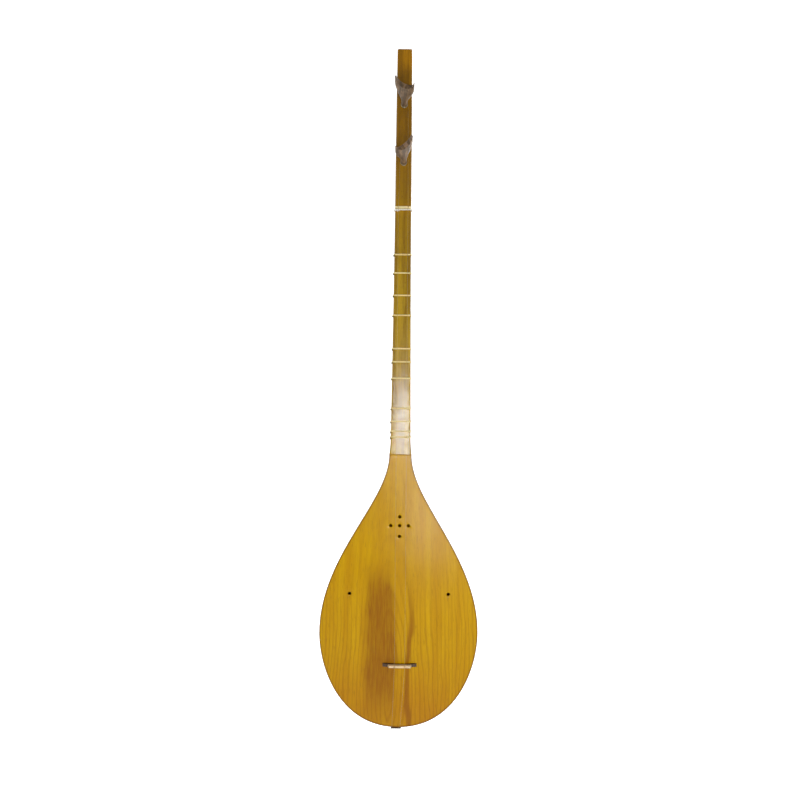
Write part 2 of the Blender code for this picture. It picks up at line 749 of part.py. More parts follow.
def build_winding(name, side, axis, material):
    """Turns of string on the stem, wound away from the neck."""
    radius = winding_radius()
    points = []
    for step in range(WINDING_TURNS * WINDING_STEPS + 1):
        turns = step / WINDING_STEPS
        angle = side * turns * 2 * math.pi
        out = WINDING_START + turns * WINDING_PITCH
        points.append((radius * math.cos(angle), radius * math.sin(angle), out))
    return place(wire(name, points, material), axis)


# Pegs


def build_peg(name, axis, turn, neck_behind, material):
    """A tapered round shank that grows into a flat head with a swallow-tailed end."""
    stem = PEG_DIAMETER / 2
    tip = -(neck_behind / math.cos(PEG_TILT) + PEG_PROUD)
    stations = [(tip, peg_radius(tip) - HEAD_ROUNDING, peg_radius(tip) - HEAD_ROUNDING, 2)]
    for out in (tip + HEAD_ROUNDING, 0, STEM_LENGTH):
        stations.append((out, peg_radius(out), peg_radius(out), 2))
    for step in range(1, HEAD_STEPS + 1):
        share = step / HEAD_STEPS
        spread = math.sin(math.pi / 2 * min(share / HEAD_SHOULDER, 1)) ** 1.3
        wide = stem + (HEAD_WIDTH / 2 - stem) * spread
        thick = stem + (HEAD_TIP_THICKNESS / 2 - stem) * share
        out = STEM_LENGTH + (HEAD_LENGTH - HEAD_ROUNDING) * share
        stations.append((out, wide, thick, 2 + HEAD_SQUARENESS * share))
    out, wide, thick, power = stations[-1]
    stations.append((out + HEAD_ROUNDING, wide - HEAD_ROUNDING, thick - HEAD_ROUNDING, power))
    bm = bmesh.new()
    loft(bm, [[(*point, out) for point in oval(wide, thick, power)] for out, wide, thick, power in stations])
    peg = place(mesh_object(name, bm, material), axis, turn=turn)
    bm = bmesh.new()
    across = Matrix.Rotation(math.pi / 2, 4, "X")
    end = Matrix.Translation((0, 0, STEM_LENGTH + HEAD_LENGTH + GAP))
    size = Matrix.Diagonal((SCOOP_WIDTH / 2, 1, SCOOP_DEPTH, 1))
    bmesh.ops.create_cone(
        bm, cap_ends=True, segments=SCOOP_SIDES, radius1=1, radius2=1, depth=HEAD_WIDTH,
        matrix=end @ size @ across,
    )
    combine(peg, place(mesh_object(f"{name}_scoop", bm), axis, turn=turn), "DIFFERENCE")
    return peg


def oval(wide, thick, power):
    """A ring from round, at power 2, to a squarer oval."""
    ring = []
    for step in range(PEG_SIDES):
        angle = 2 * math.pi * step / PEG_SIDES
        cosine = math.cos(angle)
        sine = math.sin(angle)
        x = math.copysign(abs(cosine) ** (2 / power), cosine) * wide
        y = math.copysign(abs(sine) ** (2 / power), sine) * thick
        ring.append((x, y))
    return ring


def build():
    clear_scene()
    mulberry = wood_or_metal("mulberry_board", (0.55, 0.30, 0.02), 0.32)
    carved = wood_or_metal("mulberry_bowl", (0.40, 0.19, 0.02), 0.35)
    neck_wood = wood_or_metal("neck_wood", (0.26, 0.12, 0.012), 0.38)
    walnut = wood_or_metal("peg_walnut", (0.17, 0.12, 0.08), 0.5)
    dark = wood_or_metal("bridge_wood", (0.10, 0.055, 0.02), 0.5)
    bone = wood_or_metal("nut_bone", (0.72, 0.66, 0.42), 0.4)
    pale = wood_or_metal("saddle_bone", (0.70, 0.52, 0.32), 0.42)
    white = wood_or_metal("tie_cord", (0.75, 0.72, 0.66), 0.8)
    gut = wood_or_metal("fret_gut", (0.74, 0.58, 0.25), 0.45)
    horn = wood_or_metal("holder_horn", (0.06, 0.035, 0.015), 0.35)
    steel = wood_or_metal("string_steel", (0.62, 0.60, 0.56), 0.25, 1.0)

    tail = empty("tail", (0, 0, -HANGER_HEIGHT))
    lean = (math.pi / 2 - PEG_TILT, 0, 0)
    upper_axis = empty("upper_peg_axis", (0, 0, UPPER_PEG_HEIGHT), tail, lean)
    lower_axis = empty("lower_peg_axis", (0, 0, LOWER_PEG_HEIGHT), tail, lean)
    peg_axes = [("upper_peg", upper_axis, UPPER_PEG_HEIGHT), ("lower_peg", lower_axis, LOWER_PEG_HEIGHT)]

    build_bowl(tail, carved)
    build_soundboard(tail, mulberry)
    build_neck(tail, peg_axes, neck_wood)
    build_nut(tail, bone)
    build_nut_tie(tail, white)
    build_frets(tail, gut)
    build_bridge(tail, dark)
    build_saddle(tail, pale)
    build_string_holder(tail, horn)
    build_string("string_left", -1, LOWER_PEG_HEIGHT, tail, steel)
    build_string("string_right", 1, UPPER_PEG_HEIGHT, tail, steel)
    build_peg("upper_peg", upper_axis, UPPER_PEG_TURN, neck_depth(UPPER_PEG_HEIGHT), walnut)
    build_peg("lower_peg", lower_axis, LOWER_PEG_TURN, neck_depth(LOWER_PEG_HEIGHT), walnut)
    build_winding("upper_winding", 1, upper_axis, steel)
    build_winding("lower_winding", -1, lower_axis, steel)


build()
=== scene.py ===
"""Looks of the dotar: finer pieces, materials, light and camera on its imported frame."""

import math

import bmesh
import bpy
import numpy as np
from bpy.props import FloatProperty, FloatVectorProperty, PointerProperty
from mathutils import Matrix, Vector
from mathutils.geometry import interpolate_bezier


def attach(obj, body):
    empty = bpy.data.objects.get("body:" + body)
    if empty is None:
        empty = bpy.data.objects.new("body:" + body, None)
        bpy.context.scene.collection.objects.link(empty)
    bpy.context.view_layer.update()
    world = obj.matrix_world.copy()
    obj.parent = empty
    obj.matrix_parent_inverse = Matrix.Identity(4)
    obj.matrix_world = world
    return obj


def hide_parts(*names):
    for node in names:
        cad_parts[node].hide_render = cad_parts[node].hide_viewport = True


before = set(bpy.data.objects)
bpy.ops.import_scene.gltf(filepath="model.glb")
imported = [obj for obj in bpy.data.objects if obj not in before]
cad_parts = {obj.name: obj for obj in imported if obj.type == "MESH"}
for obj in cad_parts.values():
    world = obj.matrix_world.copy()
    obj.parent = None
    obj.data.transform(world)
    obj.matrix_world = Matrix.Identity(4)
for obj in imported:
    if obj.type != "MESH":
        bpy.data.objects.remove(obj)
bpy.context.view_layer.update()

bl_info = {
    "name": "Dotar",
    "version": (1, 0, 0),
    "blender": (4, 2, 0),
    "location": "3D View > Sidebar > Dotar",
    "description": "Builds the pieces, materials and studio of a long-necked lute",
    "category": "Object",
}

MM = 0.001

# Where the tail is in the frame, whose origin is on the neck just below the upper peg
TAIL = -832 * MM

# Heights above the tail
BODY_LENGTH = 370 * MM
NUT_HEIGHT = 705 * MM
LOWER_PEG_HEIGHT = 766 * MM
UPPER_PEG_HEIGHT = 844 * MM
HEAD_HEIGHT = 921 * MM
BRIDGE_HEIGHT = 86 * MM

# Edges that bend more than this are hard
HARD_ANGLE = math.radians(35)

# Clearances
GAP = 0.3 * MM
KNOT_GAP = GAP * 1.2
TENON_CLEARANCE = 0.3 * MM
PEG_CLEARANCE = 0.25 * MM
MERGE = 0.001 * MM
CUT_PAST = 2 * MM
PEG_CUT_PAST = 4 * MM

# Body. A fullness is how far the outline runs on from one of its ends before it turns
BODY_WIDTH = 215.2 * MM
WIDEST_AT = 128 * MM
THROAT_WIDTH = 30.4 * MM
TAIL_FULLNESS = 0.74
LOWER_FULLNESS = 0.375
UPPER_FULLNESS = 0.43
THROAT_FULLNESS = 0.27
BOWL_DEPTH = 137 * MM
THROAT_DEPTH = 30 * MM
THROAT_BLEND = 140 * MM
WALL = 5.5 * MM
THROAT_BLOCK = 48 * MM
BOARD_THICKNESS = 3 * MM
BOARD_CROWN = 3 * MM
BOARD_ROUNDING = 0.7 * MM
RIM = BOARD_THICKNESS + GAP

# Sound holes: a cross of five and one at each side
HOLE_RADIUS = 2.2 * MM
CROSS_HEIGHT = 273.5 * MM
CROSS_ARM = 12 * MM
CROSS_LOWER_ARM = 14.5 * MM
CROSS_HOLES = (
    (0, CROSS_HEIGHT), (-CROSS_ARM, CROSS_HEIGHT), (CROSS_ARM, CROSS_HEIGHT),
    (0, CROSS_HEIGHT + CROSS_ARM), (0, CROSS_HEIGHT - CROSS_LOWER_ARM),
)
SIDE_HOLE_HEIGHT = 181 * MM
SIDE_HOLE_OFFSET = 67 * MM
SIDE_HOLES = ((-SIDE_HOLE_OFFSET, SIDE_HOLE_HEIGHT), (SIDE_HOLE_OFFSET, SIDE_HOLE_HEIGHT))

# Neck
HEEL_HEIGHT = BODY_LENGTH + GAP
HEEL_FLARE = 22 * MM
LOW_HEIGHT = HEEL_HEIGHT + HEEL_FLARE
NECK_WIDTH_LOW = 27.2 * MM
NECK_WIDTH_NUT = 22.4 * MM
NECK_WIDTH_HEAD = 20 * MM
NECK_DEPTH_LOW = 25.5 * MM
NECK_DEPTH_NUT = 21 * MM
NECK_DEPTH_HEAD = 18 * MM
NECK_TAPER_POWER = 1.3
HEAD_CHAMFER = 1.6 * MM
EDGE_EASE = 2 * MM
EDGE_STEPS = 6
BACK_STEPS = 36
TENON_WIDTH = 14 * MM
TENON_DEPTH = 15 * MM
TENON_LENGTH = 26 * MM

# Nut and the cord tied below it. A knot's reach is along its run, outward and up
NUT_RISE = 3.2 * MM
NUT_THICKNESS = 3.2 * MM
NUT_SLOT = 1 * MM
NUT_SLOT_REACH = 30 * MM
NUT_ROUNDING = 0.7 * MM
CORD_RADIUS = 0.45 * MM
CORD_KNOT_INSET = 3.4 * MM
CORD_KNOT_OUT = 0.95 * MM
CORD_KNOT_DROP = 1.8 * MM
CORD_KNOT_REACH = (2.8 * MM, 0.5 * MM, 1.35 * MM)
CORD_KNOT_STRAND = 0.43 * MM
CORD_END_STRAND = 0.36 * MM

# Tied frets
FRET_CENTS = (188, 268, 370, 466, 640, 714, 811, 1003, 1094, 1166, 1209)
GUT_RADIUS = 0.325 * MM
GUT_SLACK = 0.02 * MM
FRET_KNOT_OUT = 1.1 * MM
FRET_KNOT_DROP = 0.75 * MM
FRET_KNOT_REACH = (0.78 * MM, 0.75 * MM, 1.15 * MM)
FRET_KNOT_STRAND = 0.31 * MM
FRET_END_STRAND = 0.28 * MM

# Strings
STRING_RADIUS = 0.125 * MM
STRING_BEND = 6 * STRING_RADIUS
STRING_SINK = 0.35 * MM
SPACING_AT_NUT = 13 * MM
SPACING_AT_BRIDGE = 14 * MM
NOTCH_WIDTH = 3 * MM

# Bridge and saddle
BRIDGE_OFFSET = 2 * MM
BRIDGE_LENGTH = 46 * MM
BRIDGE_THICKNESS = 4.8 * MM
BRIDGE_TOP_THICKNESS = 3.6 * MM
BRIDGE_BODY = 3 * MM
BRIDGE_TRAVEL = 2 * MM
BRIDGE_END = 1.4 * MM
BRIDGE_ROUNDING = 0.35 * MM
FOOT_LENGTH = 8 * MM
ARCH_RISE = 1.4 * MM
ARCH_STEPS = 24
SADDLE_LENGTH = 32 * MM
SADDLE_THICKNESS = 3 * MM
SADDLE_RISE = 5 * MM
SADDLE_END_SLOPE = 1.5 * MM
SADDLE_ROUNDING = 0.6 * MM

# String holder
HOLDER_OFFSET = -2 * MM
HOLDER_WIDTH = 14 * MM
HOLDER_REACH = 20 * MM
HOLDER_THICKNESS = 4 * MM
HOLDER_ROUNDING = 0.4 * MM
LIP_PROUD = 0.6 * MM
LIP_THICKNESS = 1.5 * MM
LIP_SLOPE_END = 8 * MM
PIN_RADIUS = 1.2 * MM
PIN_FLARE = 0.35 * MM
PIN_LENGTH = 3 * MM
PIN_SPACING = 7 * MM
PIN_FROM_FACE = 14 * MM
LOOP_RETURN = 5 * MM

# Pegs
PEG_TILT = math.radians(8)
UPPER_PEG_TURN = math.radians(-24)
LOWER_PEG_TURN = math.radians(37)
PEG_RADIUS = 4.2 * MM
PEG_TAPER = 0.028
PEG_PROUD = 1.8 * MM
PEG_SIDES = 64
STEM_LENGTH = 12 * MM
HEAD_LENGTH = 44 * MM
HEAD_WIDTH = 27 * MM
HEAD_TIP_THICKNESS = 5.6 * MM
HEAD_SHOULDER = 0.75
HEAD_SPREAD_POWER = 1.3
HEAD_SQUARENESS = 1.2
HEAD_ROUNDING = 0.8 * MM
SCOOP_WIDTH = 25 * MM
SCOOP_DEPTH = 13.5 * MM
WINDING_RADIUS = PEG_RADIUS + GAP + STRING_RADIUS
WINDING_START = 1 * MM
WINDING_PITCH = 0.4 * MM
WINDING_TURNS = 5

# Studio, in metres
SWEEP_WIDTH = 7.0
SWEEP_FRONT = -3.0
SWEEP_BEND = 0.6
SWEEP_RISE = 4.5


def colour_of(red, green, blue):
    """Linear colour, for a shader or a property, from values of 0 to 255 as seen on a screen."""
    def linear(value):
        value /= 255
        return value / 12.92 if value <= 0.04045 else ((value + 0.055) / 1.055) ** 2.4

    return tuple(linear(value) for value in (red, green, blue))


# Shapes that follow from the sizes


def body_outline(steps):
    """Half-width and height of the edge, from the tail round the belly to the throat."""
    tail = Vector((0, 0))
    belly = Vector((BODY_WIDTH / 2, WIDEST_AT))
    throat = Vector((THROAT_WIDTH / 2, BODY_LENGTH))
    above = BODY_LENGTH - WIDEST_AT
    lower = interpolate_bezier(
        tail, tail + Vector((TAIL_FULLNESS * belly.x, 0)),
        belly - Vector((0, LOWER_FULLNESS * WIDEST_AT)), belly, steps + 1,
    )
    upper = interpolate_bezier(
        belly, belly + Vector((0, UPPER_FULLNESS * above)),
        throat - Vector((0, THROAT_FULLNESS * above)), throat, steps + 1,
    )
    return lower + upper[1:]


FINE_OUTLINE = np.array([tuple(point) for point in body_outline(steps=240)])


def half_width(height):
    """Half the body's width at a height."""
    return float(np.interp(height, FINE_OUTLINE[:, 1], FINE_OUTLINE[:, 0]))


def crown(x, height):
    """How far the soundboard's face stands proud of its edge."""
    half = half_width(height)
    if half < MERGE:
        return 0.0
    across = max(0.0, 1 - (x / half) ** 2)
    return BOARD_CROWN * (2 * half / BODY_WIDTH) ** 2 * across ** 2


def smooth_step(share):
    """Eases from 0 to 1, with no kink at either end."""
    share = min(max(share, 0), 1)
    return share * share * (3 - 2 * share)


def swell(height, at_nut, at_low, at_heel):
    """A size of the neck that grows from the nut down and flares into the heel."""
    down = (NUT_HEIGHT - height) / (NUT_HEIGHT - LOW_HEIGHT)
    size = at_nut + (at_low - at_nut) * max(min(down, 1), 0) ** NECK_TAPER_POWER
    flare = max(0.0, (LOW_HEIGHT - height) / HEEL_FLARE)
    return size + (at_heel - at_low) * flare ** 2


def past_nut(height):
    """How far up the head a height is, from 0 at the nut to 1 at its end."""
    return (height - NUT_HEIGHT) / (HEAD_HEIGHT - NUT_HEIGHT)


def neck_width(height):
    if height > NUT_HEIGHT:
        return NECK_WIDTH_NUT + (NECK_WIDTH_HEAD - NECK_WIDTH_NUT) * past_nut(height) ** 2
    return swell(height, NECK_WIDTH_NUT, NECK_WIDTH_LOW, THROAT_WIDTH)


def neck_depth(height):
    if height > NUT_HEIGHT:
        return NECK_DEPTH_NUT + (NECK_DEPTH_HEAD - NECK_DEPTH_NUT) * past_nut(height)
    return swell(height, NECK_DEPTH_NUT, NECK_DEPTH_LOW, RIM + THROAT_DEPTH)


def neck_section(height, grow=0.0):
    """Points round the neck: eased edge, round back, eased edge, then the flat face."""
    half = neck_width(height) / 2 + grow
    back = neck_depth(height) - RIM + grow
    ease = EDGE_EASE + grow
    eased = []
    for step in range(EDGE_STEPS + 1):
        angle = math.pi / 2 * step / EDGE_STEPS
        eased.append((half - ease + ease * math.sin(angle), EDGE_EASE - ease * math.cos(angle)))
    rounded = []
    for step in range(BACK_STEPS + 1):
        angle = math.pi * step / BACK_STEPS
        rounded.append((half * math.cos(angle), RIM + back * math.sin(angle)))
    return eased + rounded + [(-x, y) for x, y in reversed(eased)]


def fret_heights():
    """Each fret stands at its interval, in cents, above the open string."""
    length = NUT_HEIGHT - BRIDGE_HEIGHT
    return [BRIDGE_HEIGHT + length * 2 ** (-cents / 1200) for cents in FRET_CENTS]


def bridge_levels():
    """Depths of the bridge's top, its saddle's top and the strings on it."""
    highest = crown(0, BRIDGE_HEIGHT + BRIDGE_THICKNESS / 2 + BRIDGE_TRAVEL)
    top = -(highest + GAP + BRIDGE_BODY)
    saddle_top = top - GAP - SADDLE_RISE
    return top, saddle_top, saddle_top + STRING_SINK


def foot_level(x):
    """Where the bridge stands on the crowned board, wherever it is pushed."""
    reach = BRIDGE_THICKNESS / 2 + BRIDGE_TRAVEL
    return -max(crown(x, BRIDGE_HEIGHT + side * reach) for side in (-1, 1)) - GAP


def quarter_round(share, radius):
    """How far a rounded edge has come in, at a share of its radius along."""
    return radius * (1 - math.sqrt(1 - share ** 2))


def peg_radius(out):
    """The peg's radius: tapered in the neck, even outside it."""
    return PEG_RADIUS + PEG_TAPER * min(out, 0)


def peg_exit(height):
    """Where the peg's axis leaves the neck's back, in the peg's own axes."""
    return -neck_depth(height) / math.cos(PEG_TILT)


# Mesh helpers


def closed_ring(bm, points):
    ring = [bm.verts.new(point) for point in points]
    return [bm.edges.new(pair) for pair in zip(ring, ring[1:] + ring[:1])]


def loft(bm, sections):
    """Skins a row of closed rings and caps both ends."""
    rings = [closed_ring(bm, section) for section in sections]
    for lower, upper in zip(rings, rings[1:]):
        bmesh.ops.bridge_loops(bm, edges=lower + upper)
    for ring in (rings[0], rings[-1]):
        bmesh.ops.contextual_create(bm, geom=ring)


def prism(outline, low, high, axis):
    """A closed outline of pairs, extruded from low to high along X, Y or Z."""
    def point(a, b, along):
        return {"X": (along, a, b), "Y": (a, along, b), "Z": (a, b, along)}[axis]

    bm = bmesh.new()
    loft(bm, [[point(a, b, along) for a, b in outline] for along in (low, high)])
    return bm


def link(name, data):
    obj = bpy.data.objects.new(name, data)
    bpy.context.scene.collection.objects.link(obj)
    return obj


def to_object(name, bm, matrix=None, sharp=HARD_ANGLE):
    """A finished bmesh as an object at the origin, its place in the mesh."""
    if matrix is not None:
        bmesh.ops.transform(bm, matrix=matrix, verts=bm.verts)
    bmesh.ops.recalc_face_normals(bm, faces=bm.faces)
    mesh = bpy.data.meshes.new(name)
    bm.to_mesh(mesh)
    bm.free()
    mesh.shade_smooth()
    mesh.set_sharp_from_angle(angle=sharp)
    return link(name, mesh)


def settle(obj):
    """Applies the object's modifiers to its mesh and removes the hidden tools."""
    tools = [mod.object for mod in obj.modifiers if mod.type == "BOOLEAN"]
    graph = bpy.context.evaluated_depsgraph_get()
    mesh = bpy.data.meshes.new_from_object(obj.evaluated_get(graph))
    obj.modifiers.clear()
    old = obj.data
    obj.data = mesh
    bpy.data.meshes.remove(old)
    mesh.name = obj.name
    for tool in tools:
        bpy.data.objects.remove(tool)
    mesh.shade_smooth()
    mesh.set_sharp_from_angle(angle=HARD_ANGLE)


def combine(target, tool, operation):
    """Joins a tool to a piece or cuts it away, once the piece is settled."""
    boolean = target.modifiers.new(operation.lower(), "BOOLEAN")
    boolean.operation = operation
    boolean.solver = "EXACT"
    boolean.object = tool
    tool.hide_render = True


def rounded_edges(obj, width):
    """Rounds every hard edge a little, so that it catches the light."""
    bevel = obj.modifiers.new("edges", "BEVEL")
    bevel.width = width
    bevel.segments = 3
    bevel.limit_method = "ANGLE"
    bevel.angle_limit = HARD_ANGLE


def round_over(bm, edges, radius, segments=5):
    """Rounds chosen edges of a bmesh."""
    bmesh.ops.bevel(
        bm, geom=edges, offset=radius, segments=segments, profile=0.5, affect="EDGES", material=-1
    )


def wires(name, paths, matrix):
    """One mesh of round wires. Each path is points, a radius and whether it closes on itself."""
    bm = bmesh.new()
    for points, radius, closed in paths:
        curve = bpy.data.curves.new("wire", "CURVE")
        curve.dimensions = "3D"
        curve.bevel_depth = radius
        curve.bevel_resolution = 2
        curve.use_fill_caps = not closed
        spline = curve.splines.new("POLY")
        spline.use_cyclic_u = closed
        spline.points.add(len(points) - 1)
        for slot, point in zip(spline.points, points):
            slot.co = (*point, 1)
        obj = link("wire", curve)
        mesh = bpy.data.meshes.new_from_object(
            obj.evaluated_get(bpy.context.evaluated_depsgraph_get())
        )
        bm.from_mesh(mesh)
        bpy.data.meshes.remove(mesh)
        bpy.data.objects.remove(obj)
        bpy.data.curves.remove(curve)
    bmesh.ops.remove_doubles(bm, verts=bm.verts, dist=MERGE / 10)
    return to_object(name, bm, matrix, sharp=math.radians(60))


def finish_piece(obj, material, body, nodes):
    """Gives a piece its material, and its place in the frame."""
    obj.data.materials.clear()
    obj.data.materials.append(material)
    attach(obj, body)
    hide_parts(*nodes)


def rim_distance(obj):
    """Stores how near each point is to the body's outline, for the darker varnish there."""
    mesh = obj.data
    at = np.zeros(len(mesh.vertices) * 3)
    mesh.vertices.foreach_get("co", at)
    at = at.reshape(-1, 3)
    flat = np.stack([np.abs(at[:, 0]), at[:, 2] - TAIL], axis=1)
    away = np.empty(len(flat))
    batch = 2000
    for start in range(0, len(flat), batch):
        part = flat[start:start + batch]
        gaps = np.linalg.norm(part[:, None, :] - FINE_OUTLINE[None, :, :], axis=2)
        away[start:start + batch] = gaps.min(axis=1)
    layer = mesh.attributes.new("rim", "FLOAT", "POINT")
    layer.data.foreach_set("value", away.astype(np.float32))


UP_FROM_TAIL = Matrix.Translation((0, 0, TAIL))


def above_tail(height, x=0, y=0):
    """The place of a piece that is made about its own middle."""
    return UP_FROM_TAIL @ Matrix.Translation((x, y, height))


def peg_frame(height):
    """The peg's own axes: Z outward along the peg, in front of the face."""
    lean = Matrix.Rotation(math.pi / 2 - PEG_TILT, 4, "X")
    return Matrix.Translation((0, 0, TAIL + height)) @ lean


# Node helpers


def node(tree, kind, inputs=(), **settings):
    """Adds a node. Inputs are (name or number, value or socket to link from)."""
    made = tree.nodes.new(kind)
    for key, value in settings.items():
        setattr(made, key, value)
    for key, value in inputs:
        if isinstance(value, bpy.types.NodeSocket):
            tree.links.new(value, made.inputs[key])
        else:
            made.inputs[key].default_value = value
    return made


def maths(tree, operation, *values):
    return node(tree, "ShaderNodeMath", list(enumerate(values)), operation=operation).outputs[0]


def product(tree, first, *others):
    for other in others:
        first = maths(tree, "MULTIPLY", first, other)
    return first


def vector_maths(tree, operation, *values, output=0):
    made = node(tree, "ShaderNodeVectorMath", list(enumerate(values)), operation=operation)
    return made.outputs[output]


def band(tree, value, low, high, to_low=0.0, to_high=1.0):
    """Smoothly maps low..high to to_low..to_high."""
    inputs = [(0, value), (1, low), (2, high), (3, to_low), (4, to_high)]
    made = node(tree, "ShaderNodeMapRange", inputs, interpolation_type="SMOOTHSTEP")
    return made.outputs[0]


def blend_colour(tree, factor, first, second):
    """Blends two colours, each a socket or three numbers."""
    inputs = [(0, factor)]
    for key, colour in ((6, first), (7, second)):
        inputs.append((key, colour if isinstance(colour, bpy.types.NodeSocket) else (*colour, 1)))
    return node(tree, "ShaderNodeMix", inputs, data_type="RGBA").outputs[2]


def stripe(tree, value, rise, fall):
    """A mask that rises over one span of the value and falls over a later one."""
    return product(tree, band(tree, value, *rise), band(tree, value, *fall, 1, 0))


def edge_wear(tree, low, high, most):
    """How rubbed the piece's outer edges are."""
    geometry = node(tree, "ShaderNodeNewGeometry")
    return band(tree, geometry.outputs["Pointiness"], low, high, 0, most)


def noise(tree, vector, scale, detail=2.0, roughness=0.5):
    inputs = [("Vector", vector), ("Scale", scale), ("Detail", detail), ("Roughness", roughness)]
    return node(tree, "ShaderNodeTexNoise", inputs).outputs[0]


def new_group(name, inputs, outputs):
    """An empty node group with the given sockets, each a name, a type and maybe a default."""
    group = bpy.data.node_groups.new(name, "ShaderNodeTree")
    for label, kind, default in inputs:
        socket = group.interface.new_socket(label, in_out="INPUT", socket_type=kind)
        if default is not None:
            socket.default_value = default
    for label, kind in outputs:
        group.interface.new_socket(label, in_out="OUTPUT", socket_type=kind)
    return group, group.nodes.new("NodeGroupInput"), group.nodes.new("NodeGroupOutput")


def figure_group():
    """Wood figure that runs up the lute: broad streaks, fine fibre and short pores."""
    group = bpy.data.node_groups.get("Wood figure")
    if group:
        return group
    number = "NodeSocketFloat"
    group, start, end = new_group(
        "Wood figure",
        [("Vector", "NodeSocketVector", None), ("Width", number, 0.006), ("Wander", number, 0.004)],
        [("Streaks", number), ("Fibre", number), ("Pores", number)],
    )
    at = start.outputs["Vector"]
    wander = noise(group, vector_maths(group, "MULTIPLY", at, (1, 1, 0.35)), 14.0)
    shift = product(group, maths(group, "SUBTRACT", wander, 0.5), start.outputs["Wander"])
    at = vector_maths(group, "ADD", at, node(group, "ShaderNodeCombineXYZ", [("X", shift)]).outputs[0])
    frequency = maths(group, "DIVIDE", 1.0, start.outputs["Width"])
    scaled = node(group, "ShaderNodeVectorMath", [(0, at), ("Scale", frequency)], operation="SCALE")
    for name, stretch, detail, roughness, low, high in (
        ("Streaks", (1, 1, 0.045), 4.0, 0.6, 0.3, 0.7),
        ("Fibre", (9, 9, 0.3), 3.0, 0.65, 0.25, 0.75),
        ("Pores", (16, 16, 1.1), 1.0, 0.4, 0.6, 0.72),
    ):
        stretched = vector_maths(group, "MULTIPLY", scaled.outputs[0], stretch)
        value = noise(group, stretched, 1.0, detail, roughness)
        group.links.new(band(group, value, low, high), end.inputs[name])
    return group


def rings_group():
    """Growth rings as a flat-sawn board shows them: nested arches about a middle line."""
    group = bpy.data.node_groups.get("Growth rings")
    if group:
        return group
    number = "NodeSocketFloat"
    group, start, end = new_group(
        "Growth rings",
        [("Vector", "NodeSocketVector", None), ("Middle", number, 0.0), ("Rings", number, 260.0)],
        [("Line", number)],
    )
    at = start.outputs["Vector"]
    split = node(group, "ShaderNodeSeparateXYZ", [(0, at)])
    rough = noise(group, vector_maths(group, "MULTIPLY", at, (1, 1, 0.3)), 22.0, 3.0)
    ragged = product(group, maths(group, "SUBTRACT", rough, 0.5), 0.022)
    across = maths(group, "SUBTRACT", split.outputs["X"], start.outputs["Middle"])
    across = maths(group, "ADD", across, ragged)
    rise = maths(group, "MULTIPLY_ADD", split.outputs["Z"], 0.16, 0.125)
    squares = maths(group, "ADD", product(group, across, across), product(group, rise, rise))
    radius = product(group, maths(group, "SQRT", squares), start.outputs["Rings"])
    wave = maths(group, "SINE", product(group, radius, 2 * math.pi))
    group.links.new(band(group, wave, 0.2, 1.0), end.inputs["Line"])
    return group


def use_group(tree, group, **inputs):
    return node(tree, "ShaderNodeGroup", inputs.items(), node_tree=group).outputs


def new_material(name, roughness, specular=0.5, metallic=0.0):
    """A material with its node tree, its main shader and the place on the piece."""
    material = bpy.data.materials.new(name)
    material.use_nodes = True
    tree = material.node_tree
    shader = tree.nodes["Principled BSDF"]
    shader.inputs["Roughness"].default_value = roughness
    shader.inputs["Specular IOR Level"].default_value = specular
    shader.inputs["Metallic"].default_value = metallic
    place = tree.nodes.new("ShaderNodeTexCoord").outputs["Object"]
    return material, tree, shader, place


def add_bump(tree, shader, height, distance):
    bump = node(tree, "ShaderNodeBump", [("Height", height), ("Distance", distance), ("Strength", 1.0)])
    tree.links.new(bump.outputs[0], shader.inputs["Normal"])


def fibre_and_pores(tree, figure):
    """Relief of varnished wood: raised fibre and sunken pores."""
    return maths(tree, "ADD", figure["Fibre"], product(tree, figure["Pores"], -1.2))


def dark_fibre(tree, figure, most):
    """A mask of the wood's dark lines."""
    return product(tree, maths(tree, "SUBTRACT", 1.0, figure["Fibre"]), most)


